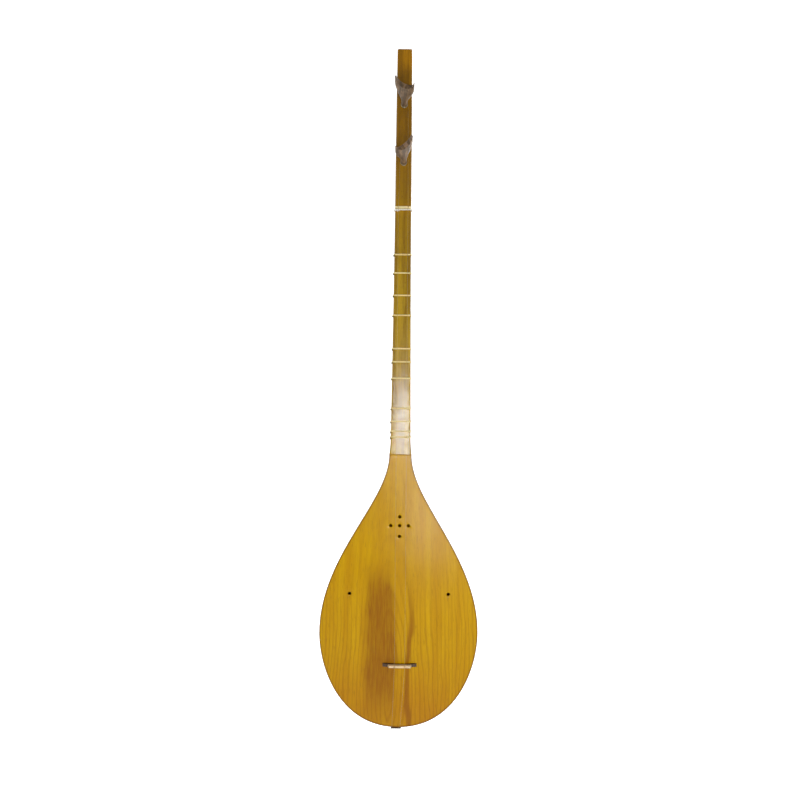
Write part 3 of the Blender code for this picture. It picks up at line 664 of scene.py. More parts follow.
def board_material(colours):
    """Varnished mulberry with nested arches, dark heart streaks and a darker rim.

    Its spans are metres from the origin: across the board, and down from the pegs.
    """
    material, tree, shader, place = new_material("varnished mulberry board", 0.22, 0.15)
    figure = use_group(tree, figure_group(), Vector=place, Width=0.011, Wander=0.02)
    rings = use_group(tree, rings_group(), Vector=place, Middle=-0.012, Rings=190.0)
    split = node(tree, "ShaderNodeSeparateXYZ", [(0, place)])
    x, z = split.outputs["X"], split.outputs["Z"]
    slow = vector_maths(tree, "MULTIPLY", place, (1, 1, 0.5))
    sway = maths(tree, "SUBTRACT", noise(tree, slow, 18.0, 3.0), 0.5)
    moved = maths(tree, "ADD", x, product(tree, sway, 0.03))

    colour = blend_colour(tree, figure["Streaks"], colours.board, colours.board_light)
    foot = product(tree, band(tree, z, -0.83, -0.71, 0.85, 0), band(tree, sway, -0.25, 0.2, 0.5, 1))
    colour = blend_colour(tree, foot, colour, colours.board_low)
    lines = product(tree, rings["Line"], band(tree, z, -0.72, -0.6, 0.34, 0.07))
    colour = blend_colour(tree, lines, colour, colours.board_dark)

    heart = stripe(tree, moved, rise=(-0.052, -0.040), fall=(-0.012, 0.001))
    reach = stripe(tree, z, rise=(-0.845, -0.76), fall=(-0.66, -0.59))
    heart = product(tree, heart, reach, band(tree, figure["Fibre"], 0, 1, 0.55, 0.95))
    thin = stripe(tree, moved, rise=(0.009, 0.014), fall=(0.016, 0.021))
    thin = product(tree, thin, band(tree, z, -0.72, -0.60, 0.75, 0.1))
    colour = blend_colour(tree, maths(tree, "MAXIMUM", heart, thin), colour, colours.board_dark)

    colour = blend_colour(tree, dark_fibre(tree, figure, 0.2), colour, colours.board_dark)
    colour = blend_colour(tree, product(tree, figure["Pores"], 0.25), colour, colours.board_deep)
    rim = node(tree, "ShaderNodeAttribute", attribute_name="rim").outputs["Fac"]
    colour = blend_colour(tree, band(tree, rim, 0.0, 0.0032, 0.8, 0.0), colour, colours.board_deep)

    flat = vector_maths(tree, "MULTIPLY", place, (1, 0, 1))
    nearest = 1.0
    for hole_x, height in CROSS_HOLES:
        away = vector_maths(tree, "DISTANCE", flat, (hole_x, 0, TAIL + height), output=1)
        nearest = maths(tree, "MINIMUM", nearest, away)
    ring = product(tree, band(tree, nearest, 0.0024, 0.0034, 1, 0), 0.55)
    colour = blend_colour(tree, ring, colour, colours.board_light)
    tree.links.new(colour, shader.inputs["Base Color"])
    add_bump(tree, shader, fibre_and_pores(tree, figure), 0.00004)
    return material


def bowl_material(colours):
    """The bowl's mulberry, a shade browner than the board, darker where it was less rubbed."""
    material, tree, shader, place = new_material("varnished mulberry bowl", 0.32, 0.35)
    figure = use_group(tree, figure_group(), Vector=place, Width=0.014, Wander=0.03)
    rings = use_group(tree, rings_group(), Vector=place, Middle=0.01, Rings=120.0)
    cloud = band(tree, noise(tree, place, 9.0, 3.0), 0.45, 0.75, 0, 0.35)
    colour = blend_colour(tree, figure["Streaks"], colours.bowl, colours.bowl_light)
    colour = blend_colour(tree, product(tree, rings["Line"], 0.3), colour, colours.bowl_dark)
    colour = blend_colour(tree, cloud, colour, colours.bowl_dark)
    colour = blend_colour(tree, product(tree, figure["Pores"], 0.4), colour, colours.board_deep)
    tree.links.new(colour, shader.inputs["Base Color"])
    shader.inputs["Coat Weight"].default_value = 0.12
    shader.inputs["Coat Roughness"].default_value = 0.2
    add_bump(tree, shader, figure["Fibre"], 0.00005)
    return material


def neck_material(colours):
    """The neck's wood: brown by the pegs, yellower further down, paler at its cut end."""
    material, tree, shader, place = new_material("varnished neck", 0.18, 0.6)
    figure = use_group(tree, figure_group(), Vector=place, Width=0.0075, Wander=0.006)
    z = node(tree, "ShaderNodeSeparateXYZ", [(0, place)]).outputs["Z"]
    tone = blend_colour(tree, band(tree, z, -0.28, -0.02, 1, 0), colours.neck, colours.neck_low)
    tone = blend_colour(tree, band(tree, z, 0.05, 0.075), tone, colours.neck_tip)
    streaks = band(tree, figure["Streaks"], 0, 1, 0.62, 0.0)
    colour = blend_colour(tree, streaks, tone, colours.neck_dark)
    colour = blend_colour(tree, dark_fibre(tree, figure, 0.35), colour, colours.neck_dark)
    colour = blend_colour(tree, product(tree, figure["Pores"], 0.5), colour, colours.neck_deep)
    colour = blend_colour(tree, edge_wear(tree, 0.52, 0.6, 0.25), colour, colours.neck_tip)
    tree.links.new(colour, shader.inputs["Base Color"])
    add_bump(tree, shader, fibre_and_pores(tree, figure), 0.00005)
    return material


def walnut_material(colours):
    """Worn walnut whose figure runs along the peg."""
    material, tree, shader, place = new_material("worn walnut", 0.5, 0.2)
    along = node(
        tree, "ShaderNodeVectorRotate", [("Vector", place), ("Angle", math.pi / 2)],
        rotation_type="X_AXIS",
    )
    figure = use_group(tree, figure_group(), Vector=along.outputs[0], Width=0.004, Wander=0.003)
    streaks = band(tree, figure["Streaks"], 0, 1, 0.15, 1)
    cloud = band(tree, noise(tree, place, 130.0, 3.0), 0.4, 0.62, 0.45, 1)
    tone = product(tree, streaks, cloud)
    colour = blend_colour(tree, tone, colours.walnut_dark, colours.walnut)
    colour = blend_colour(tree, product(tree, figure["Pores"], 0.6), colour, colours.walnut_dark)
    colour = blend_colour(tree, edge_wear(tree, 0.53, 0.62, 0.5), colour, colours.walnut_worn)
    tree.links.new(colour, shader.inputs["Base Color"])
    add_bump(tree, shader, figure["Fibre"], 0.00005)
    return material


def plain_material(name, colour, roughness, mottle, scale, specular=0.5, metallic=0.0,
                   translucent=0.0):
    """Bone, gut, cord, horn, dark wood and steel: one colour with a faint mottle. The saddle's colour also
    holds a painted highlight, and the bridge foot's and the knots' colours hold painted shade.
    """
    material, tree, shader, place = new_material(name, roughness, specular, metallic)
    cloud = noise(tree, place, scale, 3.0)
    darker = tuple(value * (1 - 2 * mottle) for value in colour)
    lighter = tuple(min(value * (1 + mottle), 1) for value in colour)
    mixed = blend_colour(tree, cloud, darker, lighter)
    tree.links.new(mixed, shader.inputs["Base Color"])
    if translucent:
        shader.inputs["Subsurface Weight"].default_value = translucent
        shader.inputs["Subsurface Radius"].default_value = (0.0008, 0.0005, 0.0003)
        shader.inputs["Subsurface Scale"].default_value = 1.0
    add_bump(tree, shader, cloud, 0.00003)
    return material


# Pieces


def half_body(profile, steps):
    """Spins a half-outline half a turn behind the rim, and deepens it to the bowl's section."""
    belly_ratio = (BOWL_DEPTH - GAP) / (BODY_WIDTH / 2)
    throat_ratio = THROAT_DEPTH / (THROAT_WIDTH / 2)
    blend_from = BODY_LENGTH - THROAT_BLEND
    bm = bmesh.new()
    points = [*profile, Vector((0, profile[-1].y))]
    line = [bm.verts.new((point.x, 0, point.y)) for point in points]
    edges = [bm.edges.new(pair) for pair in zip(line, line[1:])]
    bmesh.ops.spin(
        bm, geom=line + edges, cent=(0, 0, 0), axis=(0, 0, 1), angle=math.pi, steps=steps
    )
    bmesh.ops.remove_doubles(bm, verts=bm.verts, dist=MERGE)
    for vert in bm.verts:
        blend = smooth_step((vert.co.z - blend_from) / THROAT_BLEND)
        vert.co.y *= belly_ratio + (throat_ratio - belly_ratio) * blend
    rim = [edge for edge in bm.edges if edge.is_boundary]
    bmesh.ops.holes_fill(bm, edges=rim)
    return bm


def cavity_profile(steps):
    """The outline moved in by the wall, and closed below the throat's solid block."""
    top = BODY_LENGTH - THROAT_BLOCK
    outline = body_outline(steps)
    inner = []
    for before, point, after in zip(outline, outline[1:], outline[2:]):
        along = (after - before).normalized()
        moved = point + Vector((-along.y, along.x)) * WALL
        if moved.y < top and moved.x > WALL:
            inner.append(moved)
    last = inner[-1]
    closing = [
        Vector((last.x * math.cos(angle), last.y + WALL * 2 * math.sin(angle)))
        for angle in (math.pi / 6, math.pi / 3)
    ]
    return [Vector((0, WALL)), *inner, *closing]


def tenon_tool(grow):
    """The neck's tenon, or grown by its clearance, the mortise that takes it."""
    low = HEEL_HEIGHT - TENON_LENGTH - grow
    half = TENON_WIDTH / 2 + grow
    near = 2 * RIM - grow
    far = 2 * RIM + TENON_DEPTH + grow
    box = [(-half, near), (half, near), (half, far), (-half, far)]
    return to_object("tenon_tool", prism(box, low, HEEL_HEIGHT + CUT_PAST, "Z"), UP_FROM_TAIL)


def build_bowl(settings):
    """The carved shell: its outer form less the hollow, the hollow's mouth and the mortise."""
    seat = above_tail(0, y=RIM)
    bowl = to_object("carved_bowl", half_body(body_outline(steps=36), steps=48), seat)
    profile = cavity_profile(steps=24)
    cavity = to_object("cavity", half_body(profile, steps=32), seat)
    right = [(point.x, point.y) for point in profile if point.x > 0]
    outline = [(0, profile[0].y), *right, (0, profile[-1].y)]
    outline += [(-x, height) for x, height in reversed(right)]
    mouth = to_object("mouth", prism(outline, RIM - CUT_PAST, RIM + CUT_PAST, "Y"), UP_FROM_TAIL)
    combine(cavity, mouth, "UNION")
    settle(cavity)
    combine(bowl, cavity, "DIFFERENCE")
    combine(bowl, tenon_tool(TENON_CLEARANCE), "DIFFERENCE")
    settle(bowl)
    finish_piece(bowl, bowl_material(settings), "lute", ["bowl"])


def sound_hole_drills():
    """Seven drills whose rings open a little at the face, for softened hole edges."""
    sides = 40
    bm = bmesh.new()
    for x, height in CROSS_HOLES + SIDE_HOLES:
        face = -crown(x, height)
        rings = []
        for depth, wider in ((-2, 0.45), (-0.05, 0.45), (0.06, 0.2), (0.25, 0.05), (0.5, 0), (9, 0)):
            radius = HOLE_RADIUS + wider * MM
            ring = []
            for step in range(sides):
                angle = 2 * math.pi * step / sides
                around, up = radius * math.cos(angle), radius * math.sin(angle)
                ring.append((x + around, face + depth * MM, height + up))
            rings.append(ring)
        loft(bm, rings)
    return to_object("drills", bm, UP_FROM_TAIL)


def build_soundboard(settings):
    """The plate: a grid bent to the outline and the crown, given its thickness and its holes."""
    outline = body_outline(steps=40)
    rows = len(outline) - 1
    bm = bmesh.new()
    grid = bmesh.ops.create_grid(bm, x_segments=36, y_segments=rows, size=1)
    for vert in grid["verts"]:
        row = round((vert.co.y + 1) / 2 * rows)
        across = math.sin(vert.co.x * math.pi / 2)
        half, height = outline[row]
        vert.co = (across * half, -crown(across * half, height), height)
    bmesh.ops.remove_doubles(bm, verts=bm.verts, dist=MERGE)
    back = bmesh.ops.extrude_face_region(bm, geom=bm.faces[:])
    moved = [part for part in back["geom"] if isinstance(part, bmesh.types.BMVert)]
    bmesh.ops.translate(bm, verts=moved, vec=(0, BOARD_THICKNESS, 0))
    bmesh.ops.recalc_face_normals(bm, faces=bm.faces)
    lip = [
        edge for edge in bm.edges
        if edge.calc_face_angle(0) > HARD_ANGLE and max(vert.co.y for vert in edge.verts) < MERGE
    ]
    round_over(bm, lip, BOARD_ROUNDING, segments=3)
    board = to_object("crowned_soundboard", bm, UP_FROM_TAIL)
    combine(board, sound_hole_drills(), "DIFFERENCE")
    settle(board)
    rim_distance(board)
    finish_piece(board, board_material(settings), "lute", ["soundboard"])


def neck_heights(end):
    """Where the neck is lofted: closely spaced in the heel's flare, wider apart above it."""
    heights = []
    for low, high, steps in (
        (HEEL_HEIGHT, LOW_HEIGHT, 12), (LOW_HEIGHT, NUT_HEIGHT, 24), (NUT_HEIGHT, end, 16),
    ):
        heights += [low + (high - low) * step / steps for step in range(steps)]
    return [*heights, end]


def build_neck(settings):
    """The neck with its tenon, the slot under the nut and the two peg holes."""
    end = HEAD_HEIGHT - HEAD_CHAMFER
    sections = [[(x, y, height) for x, y in neck_section(height)] for height in neck_heights(end)]
    for share in (0.3, 0.65, 1):
        inset = quarter_round(share, HEAD_CHAMFER * 0.98)
        height = end + HEAD_CHAMFER * share
        sections.append([(x, y, height) for x, y in neck_section(height, -inset)])
    bm = bmesh.new()
    loft(bm, sections)
    neck = to_object("neck_shaft", bm, UP_FROM_TAIL)
    combine(neck, tenon_tool(0), "UNION")
    low = NUT_HEIGHT - NUT_THICKNESS / 2 - GAP / 2
    slot = [(-NUT_SLOT_REACH, -CUT_PAST), (NUT_SLOT_REACH, -CUT_PAST)]
    slot += [(NUT_SLOT_REACH, NUT_SLOT), (-NUT_SLOT_REACH, NUT_SLOT)]
    tool = to_object("nut_slot", prism(slot, low, low + NUT_THICKNESS + GAP, "Z"), UP_FROM_TAIL)
    combine(neck, tool, "DIFFERENCE")
    for height in (UPPER_PEG_HEIGHT, LOWER_PEG_HEIGHT):
        back, front = peg_exit(height) - PEG_CUT_PAST, PEG_CUT_PAST
        bm = bmesh.new()
        radii = [PEG_RADIUS + PEG_TAPER * out + PEG_CLEARANCE for out in (back, front)]
        bmesh.ops.create_cone(
            bm, cap_ends=True, segments=PEG_SIDES, radius1=radii[0], radius2=radii[1],
            depth=front - back, matrix=Matrix.Translation((0, 0, (front + back) / 2)),
        )
        combine(neck, to_object("peg_hole", bm, peg_frame(height)), "DIFFERENCE")
    settle(neck)
    finish_piece(neck, neck_material(settings), "lute", ["neck"])


def notch_tool(x, top, clearance, thickness, matrix):
    """A V that opens upwards, its bottom a clearance below the string."""
    bottom = top + STRING_SINK + STRING_RADIUS + clearance + GAP
    half = NOTCH_WIDTH / 2
    notch = [(x, bottom), (x + half, top - CUT_PAST / 2), (x - half, top - CUT_PAST / 2)]
    return to_object("notch", prism(notch, -thickness, thickness, "Z"), matrix)


def build_nut(settings):
    """The nut in its slot, with its top rounded and a notch for each string."""
    width = neck_width(NUT_HEIGHT) - 2 * GAP
    bottom = NUT_SLOT - GAP
    bm = bmesh.new()
    size = Matrix.Diagonal((width, NUT_RISE + bottom, NUT_THICKNESS - GAP, 1))
    centre = Matrix.Translation((0, (bottom - NUT_RISE) / 2, 0))
    bmesh.ops.create_cube(bm, size=1, matrix=centre @ size)
    top = [edge for edge in bm.edges if all(vert.co.y < 0 for vert in edge.verts)]
    round_over(bm, top, NUT_ROUNDING)
    seat = above_tail(NUT_HEIGHT)
    nut = to_object("bone_nut", bm, seat)
    for side in (-1, 1):
        tool = notch_tool(side * SPACING_AT_NUT / 2, -NUT_RISE, GAP, NUT_THICKNESS, seat)
        combine(nut, tool, "DIFFERENCE")
    settle(nut)
    bone = plain_material("aged nut bone", settings.nut_bone, 0.4, 0.12, 300.0, translucent=0.2)
    finish_piece(nut, bone, "lute", ["nut"])


def knot_path(centre, reach, tangent):
    """A small overhand knot that fills an ellipsoid: along the tangent, outward, and up."""
    steps = 72
    up = Vector((0, 0, 1))
    outward = up.cross(tangent).normalized()
    points = []
    for step in range(steps):
        t = 2 * math.pi * step / steps
        along = (math.sin(t) + 2 * math.sin(2 * t)) / 3 * reach[0]
        out = -math.sin(3 * t) * reach[1]
        rise = (math.cos(t) - 2 * math.cos(2 * t)) / 3 * reach[2]
        points.append(centre + tangent * along + up * rise + outward * out)
    return points


def even_loop(points, count):
    """The closed loop's points, evenly spaced, with the outward direction at each."""
    flat = np.array([tuple(point) for point in points])
    closed = np.vstack([flat, flat[:1]])
    run = np.concatenate([[0], np.cumsum(np.linalg.norm(np.diff(closed, axis=0), axis=1))])
    at = np.linspace(0, run[-1], count, endpoint=False)
    even = np.stack([np.interp(at, run, closed[:, axis]) for axis in (0, 1)], axis=1)
    along = np.roll(even, -1, axis=0) - np.roll(even, 1, axis=0)
    along /= np.linalg.norm(along, axis=1)[:, None]
    return even, np.stack([along[:, 1], -along[:, 0]], axis=1), run[-1]


def cord_turn(height, level, pitch):
    """One turn of twisted cord round the neck, as the paths of its three strands."""
    strands, count = 3, 560
    even, outward, length = even_loop(neck_section(height, GAP + CORD_RADIUS), count)
    twists = max(round(length / pitch), 1)
    strand_radius = CORD_RADIUS * 0.52
    off = CORD_RADIUS - strand_radius
    paths = []
    for strand in range(strands):
        points = []
        for step in range(count):
            angle = 2 * math.pi * (twists * step / count + strand / strands)
            x, y = even[step] + outward[step] * off * math.cos(angle)
            points.append((x, y, level + off * math.sin(angle)))
        paths.append((points, strand_radius, True))
    return paths


def build_nut_tie(settings):
    """Two turns of twisted cord round the neck, with a knot and two cut ends at the left."""
    height = NUT_HEIGHT - NUT_THICKNESS / 2 - GAP - 2 * CORD_RADIUS
    paths = []
    for level in (-CORD_RADIUS, CORD_RADIUS):
        paths += cord_turn(height, level, settings.cord_pitch)
    left = -neck_width(height) / 2 + CORD_KNOT_INSET
    centre = Vector((left, -KNOT_GAP - CORD_KNOT_OUT, 2 * CORD_RADIUS - CORD_KNOT_DROP))
    paths.append((knot_path(centre, CORD_KNOT_REACH, Vector((-1, 0, 0))), CORD_KNOT_STRAND, True))
    for side in (-1, 1):
        start = centre + Vector((side * 1.2, 0, -0.3)) * MM
        end = centre + Vector((side * 2.9, 0.2, -1.0)) * MM
        paths.append(([start, end], CORD_END_STRAND, False))
    tie = wires("nut_cord", paths, above_tail(height))
    cord = plain_material("white cotton cord", settings.cord, 0.85, 0.1, 900.0, specular=0.2)
    finish_piece(tie, cord, "lute", ["nut_tie"])


def fret_knot(height):
    """The knot over the neck's left front edge and its two cut ends."""
    corner = EDGE_STEPS + 1 + BACK_STEPS + 1 + EDGE_STEPS // 2
    x, y = neck_section(height, KNOT_GAP + FRET_KNOT_OUT)[corner]
    centre = Vector((x, y, -3 * GUT_RADIUS - FRET_KNOT_DROP))
    tangent = Vector((-1, 1, 0)).normalized()
    paths = [(knot_path(centre, FRET_KNOT_REACH, tangent), FRET_KNOT_STRAND, True)]
    for side in (-1, 1):
        start = centre + Vector((side * 0.3, side * -0.3, -0.3)) * MM
        end = start + Vector((side * 0.35, side * -0.35, -0.8)) * MM
        paths.append(([start, end], FRET_END_STRAND, False))
    return paths


def build_frets(settings):
    """Three turns of gut for each fret, the middle one a little loose, and a knot whose darker colour is
    dirt and painted shade.
    """
    gut = plain_material("tied gut", settings.gut, 0.35, 0.12, 500.0, translucent=0.25)
    # The knots' dark colour is partly dirt and partly painted shade, for the shade they hang in at the
    # neck's left edge.
    dark = plain_material("gut knots with dirt and painted shade", settings.gut_knot_dirt_and_shade, 0.5, 0.15, 700.0)
    for number, height in enumerate(fret_heights(), start=1):
        node_name = f"fret_{number:02d}"
        loop, _, _ = even_loop(neck_section(height, GAP + GUT_RADIUS), 160)
        loose = GUT_SLACK * math.sin(number * 2.4)
        turns = []
        for level in (-2 * GUT_RADIUS, loose, 2 * GUT_RADIUS):
            turns.append(([(x, y, level) for x, y in loop], GUT_RADIUS, True))
        fret = wires(f"gut_{node_name}", turns, above_tail(height))
        finish_piece(fret, gut, f"{node_name}_unit", [node_name])
        tied = wires(f"gut_knot_dirt_and_shade_{number:02d}", fret_knot(height), above_tail(height))
        tied.data.materials.append(dark)
        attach(tied, f"{node_name}_unit")


def build_bridge_foot(settings, seat, top):
    """The foot, dark wood with painted shade on its sloping ends: it follows the crowned board, arches
    between its ends and thins upwards.
    """
    half = BRIDGE_LENGTH / 2
    foot = half - FOOT_LENGTH
    shelf = SADDLE_LENGTH / 2 + GAP
    base = foot_level(BRIDGE_OFFSET)
    outline = []
    for x in (half, half - FOOT_LENGTH / 2, foot):
        outline.append((x, foot_level(x + BRIDGE_OFFSET)))
    for step in range(1, ARCH_STEPS):
        angle = math.pi * step / ARCH_STEPS
        outline.append((foot * math.cos(angle), base - ARCH_RISE * math.sin(angle)))
    for x in (-foot, -half + FOOT_LENGTH / 2, -half):
        outline.append((x, foot_level(x + BRIDGE_OFFSET)))
    end = foot_level(BRIDGE_OFFSET + half) - BRIDGE_END
    outline += [(-half, end), (-shelf, top), (shelf, top), (half, end)]
    bm = prism(outline, -BRIDGE_THICKNESS / 2, BRIDGE_THICKNESS / 2, "Z")
    for vert in bm.verts:
        rise = min(max((vert.co.y - base) / (top - base), 0), 1)
        thickness = BRIDGE_THICKNESS + (BRIDGE_TOP_THICKNESS - BRIDGE_THICKNESS) * rise
        vert.co.z *= thickness / BRIDGE_THICKNESS
    bridge = to_object("bridge_foot", bm, seat)
    rounded_edges(bridge, BRIDGE_ROUNDING)
    settle(bridge)
    # Dark wood, darkened further as painted shade of the sloping ends and of the line below the strip.
    dark = plain_material("dark bridge wood with painted shade", settings.bridge_wood, 0.5, 0.25, 260.0)
    finish_piece(bridge, dark, "bridge_unit", ["bridge"])


def build_saddle(settings, seat, bottom, top, string_level):
    """The strip on the foot, pale bone with a painted highlight of its lit top, its notches deep enough
    for the sloping strings as it slides.
    """
    half = SADDLE_LENGTH / 2
    upper = half - SADDLE_END_SLOPE
    outline = [(-half, bottom), (half, bottom), (upper, top), (-upper, top)]
    bm = prism(outline, -SADDLE_THICKNESS / 2, SADDLE_THICKNESS / 2, "Z")
    ridge = [edge for edge in bm.edges if all(vert.co.y < string_level for vert in edge.verts)]
    round_over(bm, ridge, SADDLE_ROUNDING)
    saddle = to_object("saddle_strip", bm, seat)
    fall = -string_level / BRIDGE_HEIGHT * (BRIDGE_TRAVEL + SADDLE_THICKNESS / 2)
    for side in (-1, 1):
        tool = notch_tool(side * SPACING_AT_BRIDGE / 2, top, GAP + fall, BRIDGE_THICKNESS, seat)
        combine(saddle, tool, "DIFFERENCE")
    settle(saddle)
    # Pale bone, lightened further as a painted highlight of the strip's lit top.
    pale = plain_material("saddle bone with painted highlight", settings.saddle_bone, 0.4, 0.12, 300.0, translucent=0.2)
    finish_piece(saddle, pale, "bridge_unit", ["bridge_saddle"])


def build_bridge(settings):
    """The loose bridge: its foot and the strip that the strings lie on."""
    seat = above_tail(BRIDGE_HEIGHT, x=BRIDGE_OFFSET)
    top, saddle_top, string_level = bridge_levels()
    build_bridge_foot(settings, seat, top)
    build_saddle(settings, seat, top - GAP, saddle_top, string_level)


def build_string_holder(settings):
    """A horn plate under the tail, its thin lip just proud of the face, with two flared pins."""
    seat, low = -GAP, -GAP - HOLDER_THICKNESS
    outline = [(-LIP_PROUD, seat), (HOLDER_REACH, seat), (HOLDER_REACH, low)]
    outline += [(LIP_SLOPE_END, low), (-LIP_PROUD, seat - LIP_THICKNESS)]
    left = HOLDER_OFFSET - HOLDER_WIDTH / 2
    plate = prism(outline, left, left + HOLDER_WIDTH, "X")
    holder = to_object("tail_holder", plate, UP_FROM_TAIL)
    rounded_edges(holder, HOLDER_ROUNDING)
    settle(holder)
    bm = bmesh.new()
    for side in (-1, 1):
        x = HOLDER_OFFSET + side * PIN_SPACING / 2
        middle = low + (CUT_PAST - PIN_LENGTH) / 2
        bmesh.ops.create_cone(
            bm, cap_ends=True, segments=32, radius1=PIN_RADIUS + PIN_FLARE, radius2=PIN_RADIUS,
            depth=PIN_LENGTH + CUT_PAST, matrix=Matrix.Translation((x, PIN_FROM_FACE, middle)),
        )
    pins = to_object("pins", bm, UP_FROM_TAIL)
    combine(holder, pins, "UNION")
    settle(holder)
    horn = plain_material("dark horn", settings.horn, 0.3, 0.3, 180.0)
    finish_piece(holder, horn, "lute", ["string_holder"])


def rounded(corners, radius):
    """The corners' line, with each inner corner turned along a short curve."""
    steps = 10
    path = [corners[0]]
    for before, corner, after in zip(corners, corners[1:], corners[2:]):
        back = min(radius, (before - corner).length / 2)
        ahead = min(radius, (after - corner).length / 2)
        start = corner + (before - corner).normalized() * back
        end = corner + (after - corner).normalized() * ahead
        for step in range(steps + 1):
            share = step / steps
            path.append(start.lerp(corner, share).lerp(corner.lerp(end, share), share))
    return [*path, corners[-1]]


def string_route(side, peg_height):
    """From the peg over nut and bridge, round the holder's lip and once round the string's pin."""
    off = GAP + STRING_RADIUS
    loop = PIN_RADIUS + PIN_FLARE + off
    pin = HOLDER_OFFSET + side * PIN_SPACING / 2
    run = pin + side * loop
    below = -GAP - HOLDER_THICKNESS - off
    out = WINDING_START + WINDING_TURNS * WINDING_PITCH / 2
    beside_peg = side * (WINDING_RADIUS + STRING_RADIUS + off)
    over_bridge = BRIDGE_OFFSET + side * SPACING_AT_BRIDGE / 2
    corners = [
        Vector((beside_peg, -out * math.cos(PEG_TILT), peg_height + out * math.sin(PEG_TILT))),
        Vector((side * SPACING_AT_NUT / 2, STRING_SINK - NUT_RISE, NUT_HEIGHT)),
        Vector((over_bridge, bridge_levels()[2], BRIDGE_HEIGHT)),
        Vector((run, -LIP_PROUD - off, -GAP)),
        Vector((run, -LIP_PROUD - off / 2, -GAP - LIP_THICKNESS - off)),
        Vector((run, LIP_SLOPE_END, below)),
        Vector((run, PIN_FROM_FACE, below)),
    ]
    path = rounded(corners, STRING_BEND)
    turn_steps = 24
    for step in range(1, turn_steps):
        angle = math.pi * step / turn_steps
        sideways = pin + side * loop * math.cos(angle)
        path.append(Vector((sideways, PIN_FROM_FACE + loop * math.sin(angle), below)))
    path.append(Vector((pin - side * loop, PIN_FROM_FACE - LOOP_RETURN, below)))
    return path


def winding_path(side):
    """The turns of string on a peg's stem, in the peg's own axes."""
    steps = 40
    points = []
    for step in range(WINDING_TURNS * steps + 1):
        turns = step / steps
        angle = side * turns * 2 * math.pi
        x, y = WINDING_RADIUS * math.cos(angle), WINDING_RADIUS * math.sin(angle)
        points.append((x, y, WINDING_START + turns * WINDING_PITCH))
    return points


def build_strings(settings):
    """Two steel wires held taut, and the turns of each on its peg."""
    steel = plain_material("drawn steel wire", settings.steel, 0.28, 0.05, 2000.0, metallic=1.0)
    for label, side, peg_height in (("left", -1, LOWER_PEG_HEIGHT), ("right", 1, UPPER_PEG_HEIGHT)):
        route = string_route(side, peg_height)
        string = wires(f"wire_{label}", [(route, STRING_RADIUS, False)], UP_FROM_TAIL)
        finish_piece(string, steel, "lute", [f"string_{label}"])
    for label, side, height in (("upper", 1, UPPER_PEG_HEIGHT), ("lower", -1, LOWER_PEG_HEIGHT)):
        path = [(winding_path(side), STRING_RADIUS, False)]
        turns = wires(f"wire_turns_{label}", path, peg_frame(height))
        finish_piece(turns, steel, f"{label}_peg_unit", [f"{label}_winding"])


def oval(wide, thick, power):
    """A ring from round, at power 2, to a squarer oval."""
    ring = []
    for step in range(PEG_SIDES):
        angle = 2 * math.pi * step / PEG_SIDES
        cosine, sine = math.cos(angle), math.sin(angle)
        x = math.copysign(abs(cosine) ** (2 / power), cosine) * wide
        y = math.copysign(abs(sine) ** (2 / power), sine) * thick
        ring.append((x, y))
    return ring


def peg_stations(height):
    """Rings along the peg, each its place, half-width, half-thickness and squareness."""
    tip = peg_exit(height) - PEG_PROUD
    stations = []
    for share in (0, 0.35, 0.7, 1):
        out = tip + HEAD_ROUNDING * share
        radius = peg_radius(out) - quarter_round(1 - share, HEAD_ROUNDING)
        stations.append((out, radius, radius, 2))
    for out in (tip * 0.75, tip * 0.5, tip * 0.25, 0, STEM_LENGTH / 2, STEM_LENGTH):
        stations.append((out, peg_radius(out), peg_radius(out), 2))
    head_steps = 32
    for step in range(1, head_steps + 1):
        share = step / head_steps
        spread = math.sin(math.pi / 2 * min(share / HEAD_SHOULDER, 1)) ** HEAD_SPREAD_POWER
        wide = PEG_RADIUS + (HEAD_WIDTH / 2 - PEG_RADIUS) * spread
        thick = PEG_RADIUS + (HEAD_TIP_THICKNESS / 2 - PEG_RADIUS) * share
        out = STEM_LENGTH + (HEAD_LENGTH - HEAD_ROUNDING) * share
        stations.append((out, wide, thick, 2 + HEAD_SQUARENESS * share))
    out, wide, thick, power = stations[-1]
    for share in (0.35, 0.7, 1):
        inset = quarter_round(share, HEAD_ROUNDING)
        stations.append((out + HEAD_ROUNDING * share, wide - inset, thick - inset, power))
    return stations


def scoop_tool(matrix):
    """The oval bar whose cut leaves the head's two horns."""
    bm = bmesh.new()
    across = Matrix.Rotation(math.pi / 2, 4, "X")
    end = Matrix.Translation((0, 0, STEM_LENGTH + HEAD_LENGTH + GAP))
    size = Matrix.Diagonal((SCOOP_WIDTH / 2, 1, SCOOP_DEPTH, 1))
    bmesh.ops.create_cone(
        bm, cap_ends=True, segments=96, radius1=1, radius2=1, depth=HEAD_WIDTH,
        matrix=end @ size @ across,
    )
    return to_object("scoop", bm, matrix)


def build_pegs(settings):
    """Tapered shanks that grow into flat heads with scooped ends, their edges rounded."""
    walnut = walnut_material(settings)
    for label, turn, height in (
        ("upper", UPPER_PEG_TURN, UPPER_PEG_HEIGHT), ("lower", LOWER_PEG_TURN, LOWER_PEG_HEIGHT),
    ):
        rings = []
        for out, wide, thick, power in peg_stations(height):
            rings.append([(*point, out) for point in oval(wide, thick, power)])
        bm = bmesh.new()
        loft(bm, rings)
        turned = peg_frame(height) @ Matrix.Rotation(turn, 4, "Z")
        peg = to_object(f"walnut_peg_{label}", bm, turned)
        combine(peg, scoop_tool(turned), "DIFFERENCE")
        settle(peg)
        rounded_edges(peg, settings.peg_rounding)
        settle(peg)
        finish_piece(peg, walnut, f"{label}_peg_unit", [f"{label}_peg"])


# Studio


